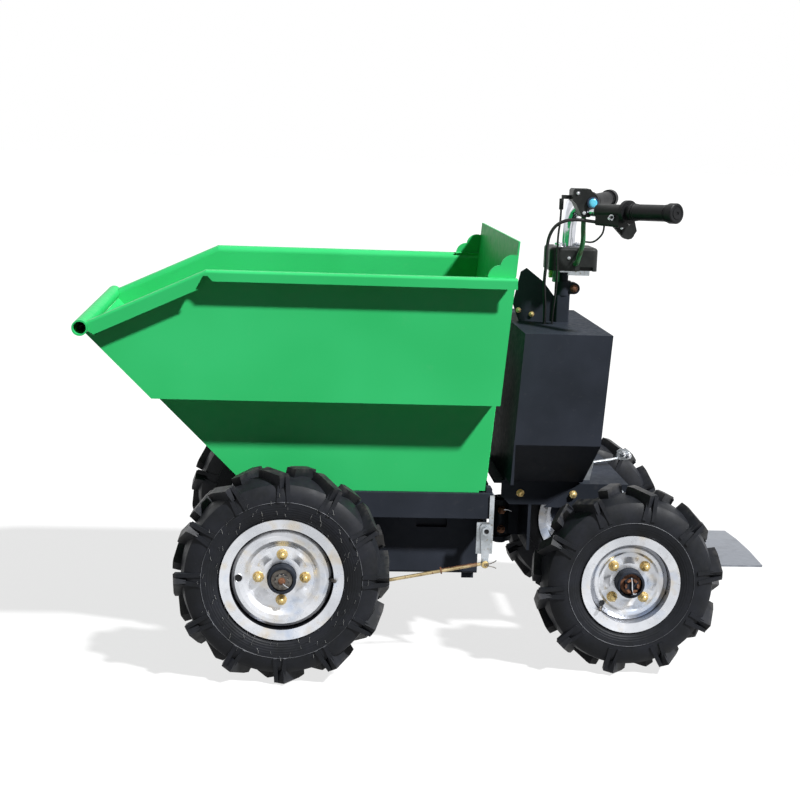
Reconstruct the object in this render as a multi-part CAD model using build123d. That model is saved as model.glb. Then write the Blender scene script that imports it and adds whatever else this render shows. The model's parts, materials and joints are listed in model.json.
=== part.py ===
"""Site dumper: articulated four-wheel mini dumper with a front-tipping skip.

Millimetres, +Z up, -X the skip's lip (front), +Y the machine's right-hand side.
Stations along X are measured from the front axle; every piece is moved on export so
that the origin lies on the ground at the middle of the overall length.
"""
import os
from math import cos, degrees, hypot, pi, radians, sin, tan

from build123d import *

os.makedirs("parts", exist_ok=True)

# ---------------------------------------------------------------- running gear
wheelbase = 684.0
front_track = 650.0          # between the tyres' centre planes
rear_track = 520.0
seat_gap = 0.3               # gap left where curved faces of two pieces seat
turn_gap = 0.05              # radial clearance of a turning pin in its hole

# radius: over the lugs; bead and flange: rim radii; disc: radius of the disc's outer edge;
# bulge, rise: width and height of the disc's raised ring; lugs: on each side of the tread;
# lug_height: above the carcass; lug_turn: degrees to the first lug; shaft: radius in the hub
front_wheel = dict(radius=207.5, width=115.0, bead=101.0, flange=117.4, disc=97.0,
                   bulge=36.0, rise=9.5, lugs=12, lug_height=16.0, lug_width=21.0,
                   lug_turn=0.0, half_rim=50.0,
                   hub_face=27.0, bolt_turn=0.0, shaft=12.5, driven=True)
rear_wheel = dict(radius=187.5, width=110.0, bead=83.0, flange=98.3, disc=72.0,
                  bulge=15.0, rise=4.5, lugs=10, lug_height=16.0, lug_width=21.0,
                  lug_turn=7.0, half_rim=48.0,
                  hub_face=24.0, bolt_turn=45.0, shaft=10.0, driven=False)
lug_sweep = 11.0             # degrees a lug runs round the tyre from shoulder to centre line
rim_wall = 3.0
bolt_circle = 88.7           # wheel bolts' pitch circle
bolt_hole = 12.0             # diameter
wheel_bolts = 4
hub_cap_radius = 27.5
hub_flange_radius = 58.0
hub_flange_wall = 8.0
hub_inner = 30.0             # inboard end of the hub, from the tyre's centre plane
hub_outer = 50.0             # outboard end of the hub cap, from the tyre's centre plane

# ---------------------------------------------------------------- front chassis
rail_size = 50.0             # square rails
rail_top = 345.0
rail_centre = 200.0          # from the machine's middle
rail_front = -38.0
rail_rear = 415.0
cross_drop = 8.0             # cross members' top face below the rails'
axle_tube_radius = 26.0
differential_radius = 62.0
case_front, case_rear = 128.0, 396.0
case_bottom = 168.0
case_half_width = 176.0
case_slot = (269.0, 331.0, 264.0, 282.0)     # x from, x to, z from, z to
case_slot_depth = 12.0
motor_radius = 48.0
motor_length = 62.0
motor_flange = 4.0           # the differential's flange stands proud of its ball
hinge_x, hinge_z = -62.0, 326.0
hinge_pin_radius = 10.0
hinge_lug_radius = 16.0
hinge_lug_wall = 8.0

# ---------------------------------------------------------------- skip
sheet = 3.0                  # skip sheet thickness
skip_half_width = 273.0      # outside of the upper side panels
lower_half_width = 212.0     # outside of the lower side panels
floor_z = 349.0              # underside of the floor
step_z = 531.5               # underside of the ledge
rim_z = 781.0
floor_front, floor_rear = -70.0, 400.0
rim_kink = -154.0            # where the rim turns down towards the lip
rim_rear = 432.0
lip_x, lip_z = -384.5, 668.0
lip_radius = 15.0
lip_wall = 3.0
lip_half_length = 308.0
rim_width = 31.0             # rim flange, outward from the side panel
rim_bend = 12.0              # outside radius where a panel bends into its rim flange
rim_corner = 5.0             # outside radius of the flange's outer corner
rim_fold = 20.0              # drop of the level rim's turned-down edge
slope_fold = 27.0            # drop of the sloping rim's turned-down edge
fold_notch = 9.0             # width of the notch between the two edges
fold_round = 9.0             # round at the level edge's front corner
headboard_top = 850.0
gusset_wall = 5.0
gusset_lobe = 23.0           # radius of the gusset's two lobes
gusset_lobes = ((28.0, 0.0), (5.0, 20.0))    # their centres, ahead of the wall and above the rim
runner_width = 24.0
rest_length = 12.0           # rests on the rails, behind the skip's floor
rest_height = 10.0

# ---------------------------------------------------------------- articulation and rear chassis
pivot_x = 465.0
pivot_pin_radius = 12.5
pivot_barrel_radius = 18.0
pivot_ear_radius = 24.0
pivot_low, pivot_high = 205.0, 275.0         # faces of the two ears that hold the barrel
pivot_ear_wall = 10.0
pivot_plate_wall = 8.0
pivot_plate_half_width = 95.0
rear_side_front = 446.0
rear_side_half_width = 128.0
rear_side_low = 302.0
rear_side_chamfer = 17.0     # lower front corner of a side plate
rear_top_front = 430.0
rear_plate_wall = 6.0
rear_bulkhead = 503.0
deck_half_width = 150.0
deck_front = wheelbase - 80.0
deck_rear = wheelbase + 20.0
deck_bottom = 302.0
deck_top = 352.0             # also the underside of the box
deck_wall = 4.0
deck_side_front = 531.0      # foot of the sloping front edge of the deck's side plates
rear_beam = 50.0             # square rear axle beam
hanger_centre = 110.0        # axle hangers' distance from the middle
foot_front, foot_rear = 884.0, 999.5
foot_half_width = 140.0
foot_z = 184.0
foot_wall = 4.0

# ---------------------------------------------------------------- box, column and controls
box_half_width = 213.0
box_low_half_width = 132.0
box_top, box_fold, box_bottom = 666.0, 443.5, deck_top
box_top_x = (465.5, 640.5)
box_fold_x = (454.0, 628.0)
box_bottom_x = (450.0, 612.0)
box_sheet_low = 362.0        # lower edge of the box's full-width front sheet
box_angle_reach = 18.0       # angle that holds the box's rear to the deck
box_angle_height = 56.0
column_x = 573.0
column_half = 14.5           # square column
column_round = 4.0
column_top = 722.0
clamp_height = 30.0
clamp_top = column_top + clamp_height
stem_radius = 11.0
stem_length = 24.0           # bare stem between clamp and console
console_x = (536.0, 636.0)
console_step = (598.0, 626.0)                # raised length of the console's underside
console_step_height = 9.0
console_height = 48.0
console_z = (clamp_top + stem_length, clamp_top + stem_length + console_height)
console_half_width = 46.0
console_round = 12.0
console_top_round = 7.0
tray_wall = 4.0              # bracket under the console
tray_x = (column_x + 4.0, 622.0)
tray_half_width = 32.0
bar_radius = 11.0
bar_bend = 48.0
knee_bend = 80.0
grip_radius = 16.0
grip_collar = 3.5            # a grip's end ring and inner flange stand this much proud
bar_half_foot = 12.5         # risers' distance from the middle
riser_lift = 0.6             # leaves room for the tilted foot of a riser
riser_height = 91.0
bar_foot_x = 580.0
bar_shoulder = (583.0, bar_half_foot + 2.0, console_z[1] + riser_height)      # top of a riser
bar_knee = (602.0, 104.0, bar_shoulder[2] - 12.0)
bar_end = (725.0, 298.0, bar_shoulder[2] - 2.0)
grip_length = 128.0

# pieces clamped on the left half of the bar
lever_from, lever_length = 131.0, 74.0       # along the bar from its outer end
lever_radius = 14.5
lever_block = (26.0, 26.0)   # width and height of the block under the lever's clamp
lever_block_drop = 16.0      # its middle below the bar
lever_knob_radius = 13.0
switch_middle = (598.0, -85.0, bar_shoulder[2] - 9.5)
switch_length = 46.0
button_radius = 11.0
ferrule_radius = 4.5
ferrule = (547.0, -80.0, 903.0, 925.0)       # x, y, and z of its two ends


# ---------------------------------------------------------------- helpers
def block(x, y, z):
    """Box between pairs of limits along each axis."""
    size = [high - low for low, high in (x, y, z)]
    middle = [(high + low) / 2 for low, high in (x, y, z)]
    return Pos(*middle) * Box(*size)


def prism(points, y):
    """Outline in the XZ plane, extruded between two Y stations."""
    low, high = min(y), max(y)
    face = make_face(Polyline(*[(px, low, pz) for px, pz in points], close=True))
    return extrude(face, amount=high - low, dir=(0, 1, 0))


def rod(start, end, radius):
    """Round bar between two points."""
    start, end = Vector(*start), Vector(*end)
    run = end - start
    return Plane(origin=(start + end) / 2, z_dir=run) * Cylinder(radius, run.length)


def turned(outline):
    """Solid of revolution about the Y axis from points (y, radius)."""
    face = make_face(Polyline(*[(0, py, radius) for py, radius in outline], close=True))
    return revolve(face, Axis.Y, 360)


def ribbon(points, wall):
    """Outline of a folded sheet: the polyline and its copy offset to the left by the wall."""
    normals = []
    for (xa, za), (xb, zb) in zip(points, points[1:]):
        run = hypot(xb - xa, zb - za)
        normals.append((-(zb - za) / run, (xb - xa) / run))
    back = []
    for place, (px, pz) in enumerate(points):
        before = normals[max(place - 1, 0)]
        after = normals[min(place, len(normals) - 1)]
        share = 1 + before[0] * after[0] + before[1] * after[1]
        shift = wall / share
        back.append((px + shift * (before[0] + after[0]), pz + shift * (before[1] + after[1])))
    return list(points) + back[::-1]


def lowered(points, drop):
    """The same polyline, drawn to the right of the way it runs, moved down by a drop."""
    return ribbon(points, -drop)[:len(points) - 1:-1]


def on_right(shape):
    """Mirror image on the other side of the machine."""
    return mirror(shape, about=Plane.XZ)


def both_sides(shape):
    return shape + on_right(shape)


def bottom_x(outline, z):
    """X of a sloping edge, given as two (x, z) points, at height z."""
    (xa, za), (xb, zb) = outline
    return xa + (xb - xa) * (z - za) / (zb - za)


# ---------------------------------------------------------------- wheels (left-hand, outboard = -Y)
def rib(start, end, outward, width, depth):
    """Straight bar whose outer face runs from start to end and faces outward."""
    start, end, outward = Vector(*start), Vector(*end), Vector(*outward)
    side = (end - start).cross(outward).normalized()
    down = side.cross(end - start).normalized() * depth
    if down.dot(outward) > 0:
        down = down * -1
    corner = [point - side * (width / 2) for point in (start, end, end + down, start + down)]
    return extrude(make_face(Polyline(*corner, close=True)), amount=width, dir=side)


def carcass_sizes(w):
    """Named radii and half-widths of the tyre's casing."""
    crown = w["radius"] - w["lug_height"]
    return dict(crown=crown, shoulder=crown - 8.0, half_shoulder=w["width"] / 2 - 14.0,
                widest=(w["flange"] + crown) / 2, half_widest=w["width"] / 2 - 3.0,
                half_bead=w["half_rim"] - 2 * rim_wall)


def casing(w):
    """Tyre body without its lugs."""
    c = carcass_sizes(w)

    def at(y, radius):
        return (0, y, radius)

    bead_low, bead_high = w["bead"] + seat_gap, w["flange"] - 2.0
    side = c["half_bead"] - seat_gap
    edges = [Line(at(-side, bead_low), at(side, bead_low)),
             Line(at(side, bead_low), at(side, bead_high)),
             ThreePointArc(at(side, bead_high), at(c["half_widest"], c["widest"]),
                           at(c["half_shoulder"], c["shoulder"])),
             ThreePointArc(at(c["half_shoulder"], c["shoulder"]), at(0, c["crown"]),
                           at(-c["half_shoulder"], c["shoulder"])),
             ThreePointArc(at(-c["half_shoulder"], c["shoulder"]),
                           at(-c["half_widest"], c["widest"]), at(-side, bead_high)),
             Line(at(-side, bead_high), at(-side, bead_low))]
    return revolve(make_face(edges), Axis.Y, 360)


def lug(w, hand, angle):
    """One tread bar: from just past the centre line to the shoulder, then two sidewall legs.

    hand is -1 on the outboard half of the tread and 1 on the inboard half.
    """
    c = carcass_sizes(w)

    def at(turn, y, radius):
        return (radius * cos(radians(turn)), hand * y, radius * sin(radians(turn)))

    shoulder_y = w["width"] / 2 - 9.0
    shoulder = w["radius"] - 4.0
    foot = (w["flange"] + c["crown"]) / 2 - 2.0
    deep = w["lug_height"] + 8.0
    middle = angle + lug_sweep / 2
    bar = rib(at(angle + lug_sweep, -5.0, w["radius"] + 1.5), at(angle, shoulder_y, shoulder),
              at(middle, 0, 1), w["lug_width"], deep)
    spread = degrees(w["lug_width"] / 3.1 / shoulder)
    legs = [rib(at(angle + way * spread * 0.9, shoulder_y - 1.0, shoulder - 1.0),
                at(angle + way * spread * 1.9, w["width"] / 2 - 0.5, foot),
                at(angle, 1.0, 0.25), w["lug_width"] / 2.7, 12.0) for way in (-1, 1)]
    return [bar] + legs


def tyre(w):
    """Casing with its lugs, the two halves of the tread half a pitch apart."""
    pitch = 360.0 / w["lugs"]
    bars = []
    for hand, first in ((-1, w["lug_turn"]), (1, w["lug_turn"] + pitch / 2)):
        for turn in range(w["lugs"]):
            bars += lug(w, hand, first + turn * pitch)
    envelope = Plane.XZ * Cylinder(w["radius"], w["width"])
    tread = (Part() + bars) & envelope
    return casing(w) + tread


def rim(w):
    """Barrel with both flanges, and the pressed disc inside its outer half."""
    half, bead, flange = w["half_rim"], w["bead"], w["flange"]
    seat = half - 2 * rim_wall
    well = bead - 14.0
    inner = bead - rim_wall
    barrel = turned([(-half, flange), (-half + rim_wall, flange), (-seat, bead + 5.0), (-seat, bead),
                     (-20.0, bead), (-12.0, well), (12.0, well), (20.0, bead), (seat, bead),
                     (seat, bead + 5.0), (half - rim_wall, flange), (half, flange),
                     (half - 4.0, inner), (21.5, inner), (13.5, well - rim_wall),
                     (-13.5, well - rim_wall), (-21.5, inner), (-half + 4.0, inner)])
    disc_edge = w["disc"]
    face = w["hub_face"]
    ring = [(0.70, 0.08), (0.95, 0.22), (1.0, 0.42), (0.75, 0.66), (0.22, 0.88), (0.0, 1.0)]
    outer = [(-21.0, inner + 1.0), (-face - 1.0, disc_edge)]
    outer += [(-face - w["rise"] * up, disc_edge - w["bulge"] * across) for up, across in ring]
    outer.append((-face, hub_cap_radius + seat_gap + 0.5))
    back = [(y + rim_wall, radius) for y, radius in outer[:0:-1]]
    disc = turned(outer + back + [(-18.0, inner + 1.0)])
    return (barrel + disc) - wheel_bolt_holes(w)


def wheel_bolt_holes(w):
    holes = Part()
    for turn in range(wheel_bolts):
        angle = radians(w["bolt_turn"] + turn * 360.0 / wheel_bolts)
        x, z = bolt_circle / 2 * cos(angle), bolt_circle / 2 * sin(angle)
        holes += rod((x, -w["hub_face"] - 30, z), (x, 0, z), bolt_hole / 2)
    return holes


def hub(w):
    """Flanged hub with its cap; a driven hub carries its half-shaft, a free one is bored."""
    face = w["hub_face"] - rim_wall
    body = turned([(-hub_outer, 0), (-hub_outer, hub_cap_radius - 2.0),
                   (-hub_outer + 2.0, hub_cap_radius), (-face, hub_cap_radius),
                   (-face, hub_flange_radius), (-face + hub_flange_wall, hub_flange_radius),
                   (-face + hub_flange_wall, 32.0), (hub_inner, 32.0), (hub_inner, 0)])
    if w["driven"]:
        recess = rod((0, -hub_outer - 1, 0), (0, -hub_outer + 8, 0), hub_cap_radius - 6.0)
        shaft = rod((0, -hub_outer - 3, 0), (0, hub_inner + 60.0, 0), w["shaft"])
        return (body - recess) + shaft
    bore = rod((0, -hub_outer - 1, 0), (0, hub_inner + 1, 0), w["shaft"] + turn_gap)
    recess = rod((0, -hub_outer - 1, 0), (0, -hub_outer + 10, 0), hub_cap_radius - 5.0)
    return body - bore - recess


# ---------------------------------------------------------------- front chassis
def rail():
    low = rail_top - rail_size
    half = rail_size / 2
    return block((rail_front, rail_rear), (-rail_centre - half, -rail_centre + half), (low, rail_top))


def cross_members():
    inside = rail_centre - rail_size / 2
    low = rail_top - rail_size
    bars = [block((x, x + rail_size), (-inside, inside), (low, rail_top - cross_drop))
            for x in (rail_front, rail_rear - rail_size)]
    return bars[0] + bars[1]


def front_axle():
    """Axle tubes and the differential's housing, hung from the rails by two brackets."""
    w = front_wheel
    z = w["radius"]
    end = front_track / 2 - hub_inner - 1.0
    tube = rod((0, -end, z), (0, end, z), axle_tube_radius)
    casing_ball = Pos(0, 0, z) * Sphere(differential_radius)
    flange = rod((0, 0, z), (differential_radius + motor_flange, 0, z), motor_radius - 6.0)
    hangers = Part()
    for side in (-1, 1):
        y = side * rail_centre
        hangers += block((-32, 32), (y - 5, y + 5), (z, rail_top - rail_size))
        hangers += block((-40, 40), (y - 22, y + 22), (rail_top - rail_size - 6, rail_top - rail_size))
    lever = block((-8, 8), (-brake_lever_face, 8 - brake_lever_face), (z - brake_lever_drop - 6, z))
    bore = rod((0, -end - 1, z), (0, end + 1, z), w["shaft"] + turn_gap)
    return tube + casing_ball + flange + hangers + lever - bore


def drive_motor():
    """Motor block bolted to the differential's rear flange."""
    z = front_wheel["radius"]
    start = differential_radius + motor_flange
    return rod((start, 0, z), (start + motor_length - motor_flange, 0, z), motor_radius)


def battery_case():
    x_from, x_to, z_from, z_to = case_slot
    low = rail_top - rail_size
    body = block((case_front, case_rear), (-case_half_width, case_half_width), (case_bottom, low))
    body = fillet(body.edges().filter_by(Axis.X).group_by(Axis.Z)[0], 6.0)
    for side in (-1, 1):
        y = (case_half_width - case_slot_depth, case_half_width + 1)
        y = y if side > 0 else (-y[1], -y[0])
        body -= block((x_from, x_to), y, (z_from, z_to))
    tabs = [block((368, 392), (y - 3, y + 3), (case_bottom - 16, case_bottom)) for y in (-150, 150)]
    return body + tabs[0] + tabs[1]


def hinge_bracket():
    """Ear on the rail's front end with the skip's hinge pin."""
    inner = rail_centre - 14.0
    ear = block((hinge_x, rail_front), (-inner - hinge_lug_wall, -inner),
                (hinge_z - hinge_lug_radius, hinge_z + hinge_lug_radius))
    ear += rod((hinge_x, -inner - hinge_lug_wall, hinge_z), (hinge_x, -inner, hinge_z), hinge_lug_radius)
    pin = rod((hinge_x, -inner - 3 * hinge_lug_wall, hinge_z), (hinge_x, -inner + 4, hinge_z),
              hinge_pin_radius)
    return ear + pin


def pivot_bracket():
    """Plate across the rear of the front chassis with the two ears of the steering pivot."""
    plate = block((rail_rear, rail_rear + pivot_plate_wall),
                  (-pivot_plate_half_width, pivot_plate_half_width),
                  (pivot_low - 20, rail_top - cross_drop))
    ears = Part()
    for low in (pivot_low - pivot_ear_wall, pivot_high):
        z = (low, low + pivot_ear_wall)
        ears += block((rail_rear, pivot_x), (-pivot_ear_radius, pivot_ear_radius), z)
        ears += rod((pivot_x, 0, z[0]), (pivot_x, 0, z[1]), pivot_ear_radius)
    hole = rod((pivot_x, 0, pivot_low - 40), (pivot_x, 0, pivot_high + 40), pivot_pin_radius + turn_gap)
    return plate + ears - hole


brake_plate_wall = 3.0
brake_plate_width = 30.0
brake_arm_y = -rail_centre - rail_size / 2 - brake_plate_wall - 1.0
brake_shaft = (rail_rear - 12.0, rail_top - 72.0)          # x and z of the cross shaft
brake_plate_low = rail_top - 121.0
brake_nut_radius = 9.5
brake_clevis_z = rail_top - 139.5
brake_rod_radius = 3.5
brake_lever_face = rail_centre + 44.0        # outer face of the lever on the axle
brake_lever_drop = 74.0                      # below the axle's centre


def brake_bracket():
    """Plated angle bracket on the left rail's rear end, with its arm and cross shaft."""
    outer = -rail_centre - rail_size / 2
    wall = brake_plate_wall
    x, z = brake_shaft
    back = block((rail_rear, rail_rear + wall), (outer - wall, outer + brake_plate_width),
                 (z + 12, rail_top - 2))
    side = block((x - 18, rail_rear + wall), (outer - wall, outer), (brake_plate_low, z + 15))
    side += block((rail_rear - 6, rail_rear + wall), (outer - wall, outer), (z, rail_top - 2))
    arm = prism([(x - 12, z + 8), (x - 8, z + 13), (x + 8, z + 13), (x + 12, z + 8),
                 (x + 6, brake_clevis_z - 6), (x - 6, brake_clevis_z - 6)],
                (brake_arm_y - 2 * wall, brake_arm_y - wall))
    boss = rod((x, brake_arm_y - 2 * wall, z), (x, outer, z), brake_nut_radius - 2.0)
    face = Plane(origin=(x, brake_arm_y - 2 * wall, z), z_dir=(0, -1, 0))
    nut = face * extrude(RegularPolygon(brake_nut_radius, 6), 7.0)
    nut -= rod((x, brake_arm_y - 2 * wall - 8, z), (x, brake_arm_y - 2 * wall - 2, z), 5.0)
    eye = rod((x, brake_arm_y - 4 * wall, brake_clevis_z), (x, brake_arm_y - wall, brake_clevis_z), 8.0)
    return back + side + arm + boss + nut + eye


def brake_rod():
    """Rod from the arm's clevis forward to the lever on the front axle."""
    start = (brake_shaft[0] - 8.0 - seat_gap, brake_arm_y - 8.0, brake_clevis_z)
    face = -brake_lever_face - seat_gap
    low = front_wheel["radius"] - brake_lever_drop
    end = (6.0, face - 5.0, low)
    eye = rod((end[0], face - 9.0, low), (end[0], face, low), 8.0)
    return rod(start, end, brake_rod_radius) + eye


# ---------------------------------------------------------------- skip
front_edge = ((floor_front, floor_z), (lip_x, lip_z))
rear_edge = ((floor_rear, floor_z), (rim_rear, rim_z))


rim_line = [(lip_x, lip_z + 6.0), (rim_kink, rim_z), (rim_rear, rim_z)]


def skip_outline():
    """Side view of a side panel, up to where its rim bends outward."""
    return [(floor_front, floor_z), (lip_x, lip_z - lip_radius / 2)] + lowered(rim_line, rim_bend) + [
        (floor_rear, floor_z)]


def lip_tube():
    outer = rod((lip_x, -lip_half_length, lip_z), (lip_x, lip_half_length, lip_z), lip_radius)
    return outer - rod((lip_x, -lip_half_length - 1, lip_z), (lip_x, lip_half_length + 1, lip_z),
                       lip_radius - lip_wall)


def lip_space():
    """What the lip tube and its seat take out of the sheets."""
    return rod((lip_x, -lip_half_length, lip_z), (lip_x, lip_half_length, lip_z), lip_radius + seat_gap)


def skip_side():
    """Left side: upper panel, ledge and lower panel folded from one sheet."""
    upper, lower = skip_half_width, lower_half_width
    fold = [(-lower, floor_z), (-lower, step_z), (-upper, step_z), (-upper, rim_z),
            (-upper + sheet, rim_z), (-upper + sheet, step_z + sheet),
            (-lower + sheet, step_z + sheet), (-lower + sheet, floor_z)]
    face = make_face(Polyline(*[(lip_x - 20, y, z) for y, z in fold], close=True))
    sheet_metal = extrude(face, amount=rim_rear - lip_x + 60, dir=(1, 0, 0))
    return (sheet_metal & prism(skip_outline(), (-upper - 1, 0))) - lip_space()


def tee_plate(edge, z_top, wall_shift):
    """Sloping sheet between the sides, narrow below the ledge and wide above it."""
    low = (bottom_x(edge, floor_z), floor_z)
    high = (bottom_x(edge, z_top), z_top)
    outline = [low, high, (high[0] + wall_shift, z_top), (low[0] + wall_shift, floor_z)]
    narrow = prism(outline, (-lower_half_width + sheet, lower_half_width - sheet))
    wide = prism(outline, (-skip_half_width + sheet, skip_half_width - sheet))
    wide -= block((lip_x - 99, rim_rear + 99), (-400, 400), (0, step_z + sheet))
    if z_top > rim_z:
        outer = skip_half_width + gusset_wall
        ears = prism(outline, (-outer, outer))
        wide += ears - block((lip_x - 99, rim_rear + 99), (-400, 400), (0, rim_z + seat_gap))
    return narrow + wide


def skip_front_sheet():
    steep = hypot(lip_x - floor_front, lip_z - floor_z) / (lip_z - floor_z)
    return tee_plate(front_edge, lip_z, sheet * steep) - lip_space()


def skip_rear_wall():
    return tee_plate(rear_edge, headboard_top, -sheet)


def skip_floor():
    steep = hypot(lip_x - floor_front, lip_z - floor_z) / (lip_z - floor_z)
    inside = lower_half_width - sheet
    outline = [(floor_front + sheet * steep, floor_z), (floor_rear - sheet, floor_z),
               (floor_rear - sheet, floor_z + sheet), (floor_front + sheet * steep, floor_z + sheet)]
    slope = prism([(floor_front, floor_z), (lip_x, lip_z), (lip_x + sheet * steep, lip_z),
                   (floor_front + sheet * steep, floor_z)], (-inside, inside))
    return prism(outline, (-inside, inside)) - slope


def rim_section(x, drop):
    """Section across a level rim: bend out of the side panel, flange and turned-down edge."""
    y_in, y_out, z = -skip_half_width, -skip_half_width - rim_width, rim_z
    bend_y, corner_y = y_in + sheet - rim_bend, y_out + rim_corner
    inner_bend, inner_corner = rim_bend - sheet, rim_corner - sheet

    def at(y, drop_from_top):
        return (x, y, z - drop_from_top)

    def arc(centre_y, radius, start, end):
        def on(angle):
            way = radians(angle)
            depth = rim_bend if centre_y == bend_y else rim_corner
            return at(centre_y + radius * cos(way), depth - radius * sin(way))
        return ThreePointArc(on(start), on((start + end) / 2), on(end))

    edges = [arc(bend_y, rim_bend, 0, 90), Line(at(bend_y, 0), at(corner_y, 0)),
             arc(corner_y, rim_corner, 90, 180), Line(at(y_out, rim_corner), at(y_out, drop)),
             Line(at(y_out, drop), at(y_out + sheet, drop)),
             Line(at(y_out + sheet, drop), at(y_out + sheet, rim_corner)),
             arc(corner_y, inner_corner, 180, 90), Line(at(corner_y, sheet), at(bend_y, sheet)),
             arc(bend_y, inner_bend, 90, 0), Line(at(y_in, rim_bend), at(y_in + sheet, rim_bend))]
    return make_face(edges)


def skip_rim():
    """Left rim, bent from the side's top edge and mitred where it turns down to the lip."""
    path = Polyline(*[(x, 0, z) for x, z in rim_line[::-1]])
    rim_sheet = sweep(rim_section(rim_rear, slope_fold), path=path, transition=Transition.RIGHT)
    y = (-skip_half_width - rim_width - 1, -skip_half_width - rim_width + rim_corner)
    low = rim_z - slope_fold
    notch_front, notch_rear = rim_kink - fold_notch / 2, rim_kink + fold_notch / 2
    round_end = notch_rear + fold_round
    level = prism([(round_end, rim_z - rim_fold), (rim_rear + 1, rim_z - rim_fold),
                   (rim_rear + 1, low - 1), (round_end, low - 1)], y)
    notch = prism([(notch_front, rim_z - 2 * rim_corner), (notch_rear, rim_z - 2 * rim_corner),
                   (notch_rear, rim_z - rim_fold + fold_round), (round_end, rim_z - rim_fold),
                   (round_end, low - fold_round), (rim_kink - 2 * fold_notch, low - fold_round)], y)
    nose = prism([(lip_x - 9, lip_z + 9), (lip_x + 2 * lip_radius, lip_z - lip_radius),
                  (lip_x + 2 * lip_radius, lip_z - 99), (lip_x - 9, lip_z - 99)], y)
    return rim_sheet - level - notch - nose - lip_space()


def skip_gusset():
    """Left scalloped gusset standing on the rim's bend, against the rear wall."""
    y = (-skip_half_width - gusset_wall, -skip_half_width)
    foot = rim_z - rim_bend
    top = rim_z + gusset_lobes[1][1] + gusset_lobe

    def wall_x(z):
        return bottom_x(rear_edge, z) - sheet

    lobes = Part()
    for ahead, above in gusset_lobes:
        centre = (wall_x(rim_z) - ahead, rim_z + above)
        lobes += rod((centre[0], y[0], centre[1]), (centre[0], y[1], centre[1]), gusset_lobe)
    ahead, above = gusset_lobes[0]
    far = wall_x(rim_z) - ahead - gusset_lobe
    lobes += prism([(far, rim_z), (far, foot), (wall_x(foot), foot), (wall_x(rim_z), rim_z)], y)
    lobes += prism([(wall_x(rim_z) - ahead, rim_z), (wall_x(rim_z), rim_z), (wall_x(top), top)], y)
    limit = prism([(wall_x(foot), foot), (far, foot), (far, top), (wall_x(top), top)], y)
    bend_y = -skip_half_width + sheet - rim_bend
    bend = rod((far - 1, bend_y, foot), (rim_rear + 9, bend_y, foot), rim_bend + seat_gap)
    return (lobes & limit) - bend


def skip_runner():
    y = (-rail_centre - runner_width / 2, -rail_centre + runner_width / 2)
    return block((rail_front + 4, floor_rear - 12), y, (rail_top + seat_gap, floor_z))


def skip_rest():
    """Rounded pad on the rail's rear end, behind the lowered skip."""
    y = (-rail_centre - runner_width / 2, -rail_centre + runner_width / 2)
    pad = block((rail_rear - rest_length, rail_rear), y, (rail_top, rail_top + rest_height))
    return fillet(pad.edges().filter_by(Axis.Y).group_by(Axis.Z)[-1], rest_height / 3)


def skip_hinge_lug():
    """Left lug under the floor's front edge, bored for the hinge pin."""
    outer = rail_centre - 14.0 + hinge_lug_wall + seat_gap
    y = (-outer - hinge_lug_wall, -outer)
    body = prism([(hinge_x - hinge_lug_radius, hinge_z), (floor_front + 2, floor_z),
                  (rail_front - 2, floor_z), (hinge_x + hinge_lug_radius, hinge_z)], y)
    body += rod((hinge_x, y[0], hinge_z), (hinge_x, y[1], hinge_z), hinge_lug_radius)
    return body - rod((hinge_x, y[0] - 1, hinge_z), (hinge_x, y[1] + 1, hinge_z),
                      hinge_pin_radius + turn_gap)


# ---------------------------------------------------------------- rear chassis
def rear_frame():
    """Two side plates, top plate and bulkhead, with the barrel and pin of the steering pivot."""
    half, wall = rear_side_half_width, rear_plate_wall
    low, high = rear_side_low, deck_top - rear_plate_wall
    side = prism([(rear_side_front, high), (rear_side_front, low + rear_side_chamfer),
                  (rear_side_front + rear_side_chamfer, low), (deck_rear - deck_wall, low),
                  (deck_rear - deck_wall, high)], (-half, -half + wall))
    frame = both_sides(side)
    frame += block((rear_top_front, deck_front), (-half, half), (high, deck_top))
    frame += block((rear_bulkhead, rear_bulkhead + wall), (-half, half), (pivot_low, high))
    inner = (pivot_low + seat_gap, pivot_high - seat_gap)
    frame += rod((pivot_x, 0, inner[0]), (pivot_x, 0, inner[1]), pivot_barrel_radius)
    frame += block((pivot_x + 10, rear_bulkhead), (-6, 6), inner)
    frame += rod((pivot_x, 0, pivot_low - pivot_ear_wall - 6),
                 (pivot_x, 0, pivot_high + pivot_ear_wall + 4), pivot_pin_radius)
    return frame


def rear_deck():
    """Folded deck between the rear wheels, its side plates swept forward, with axle hangers."""
    half, wall = deck_half_width, deck_wall
    deck = block((deck_front, deck_rear), (-half, half), (deck_top - wall, deck_top))
    deck += block((deck_rear - wall, deck_rear), (-half, half), (deck_bottom, deck_top))
    side = prism([(deck_side_front, deck_bottom), (deck_front, deck_top), (deck_rear, deck_top),
                  (deck_rear, deck_bottom)], (-half, -half + wall))
    deck += both_sides(side)
    z = rear_wheel["radius"]
    hanger = block((wheelbase - 32, deck_rear), (-hanger_centre - 4, -hanger_centre + 4),
                   (z + rear_beam / 2, deck_top - wall))
    return deck + both_sides(hanger)


def rear_axle():
    """Square beam with turned stub ends and the hub nuts."""
    w = rear_wheel
    z = w["radius"]
    end = rear_track / 2 - hub_inner - seat_gap
    half = rear_beam / 2
    beam = block((wheelbase - half, wheelbase + half), (-end, end), (z - half, z + half))
    tip = rear_track / 2 + hub_outer
    beam += rod((wheelbase, -tip, z), (wheelbase, tip, z), w["shaft"])
    for side in (-1, 1):
        inner = side * (tip - 9.5)
        nut = Plane(origin=(wheelbase, inner, z), z_dir=(0, side, 0)) * extrude(RegularPolygon(15, 6), 14)
        beam += nut
    return beam


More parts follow.
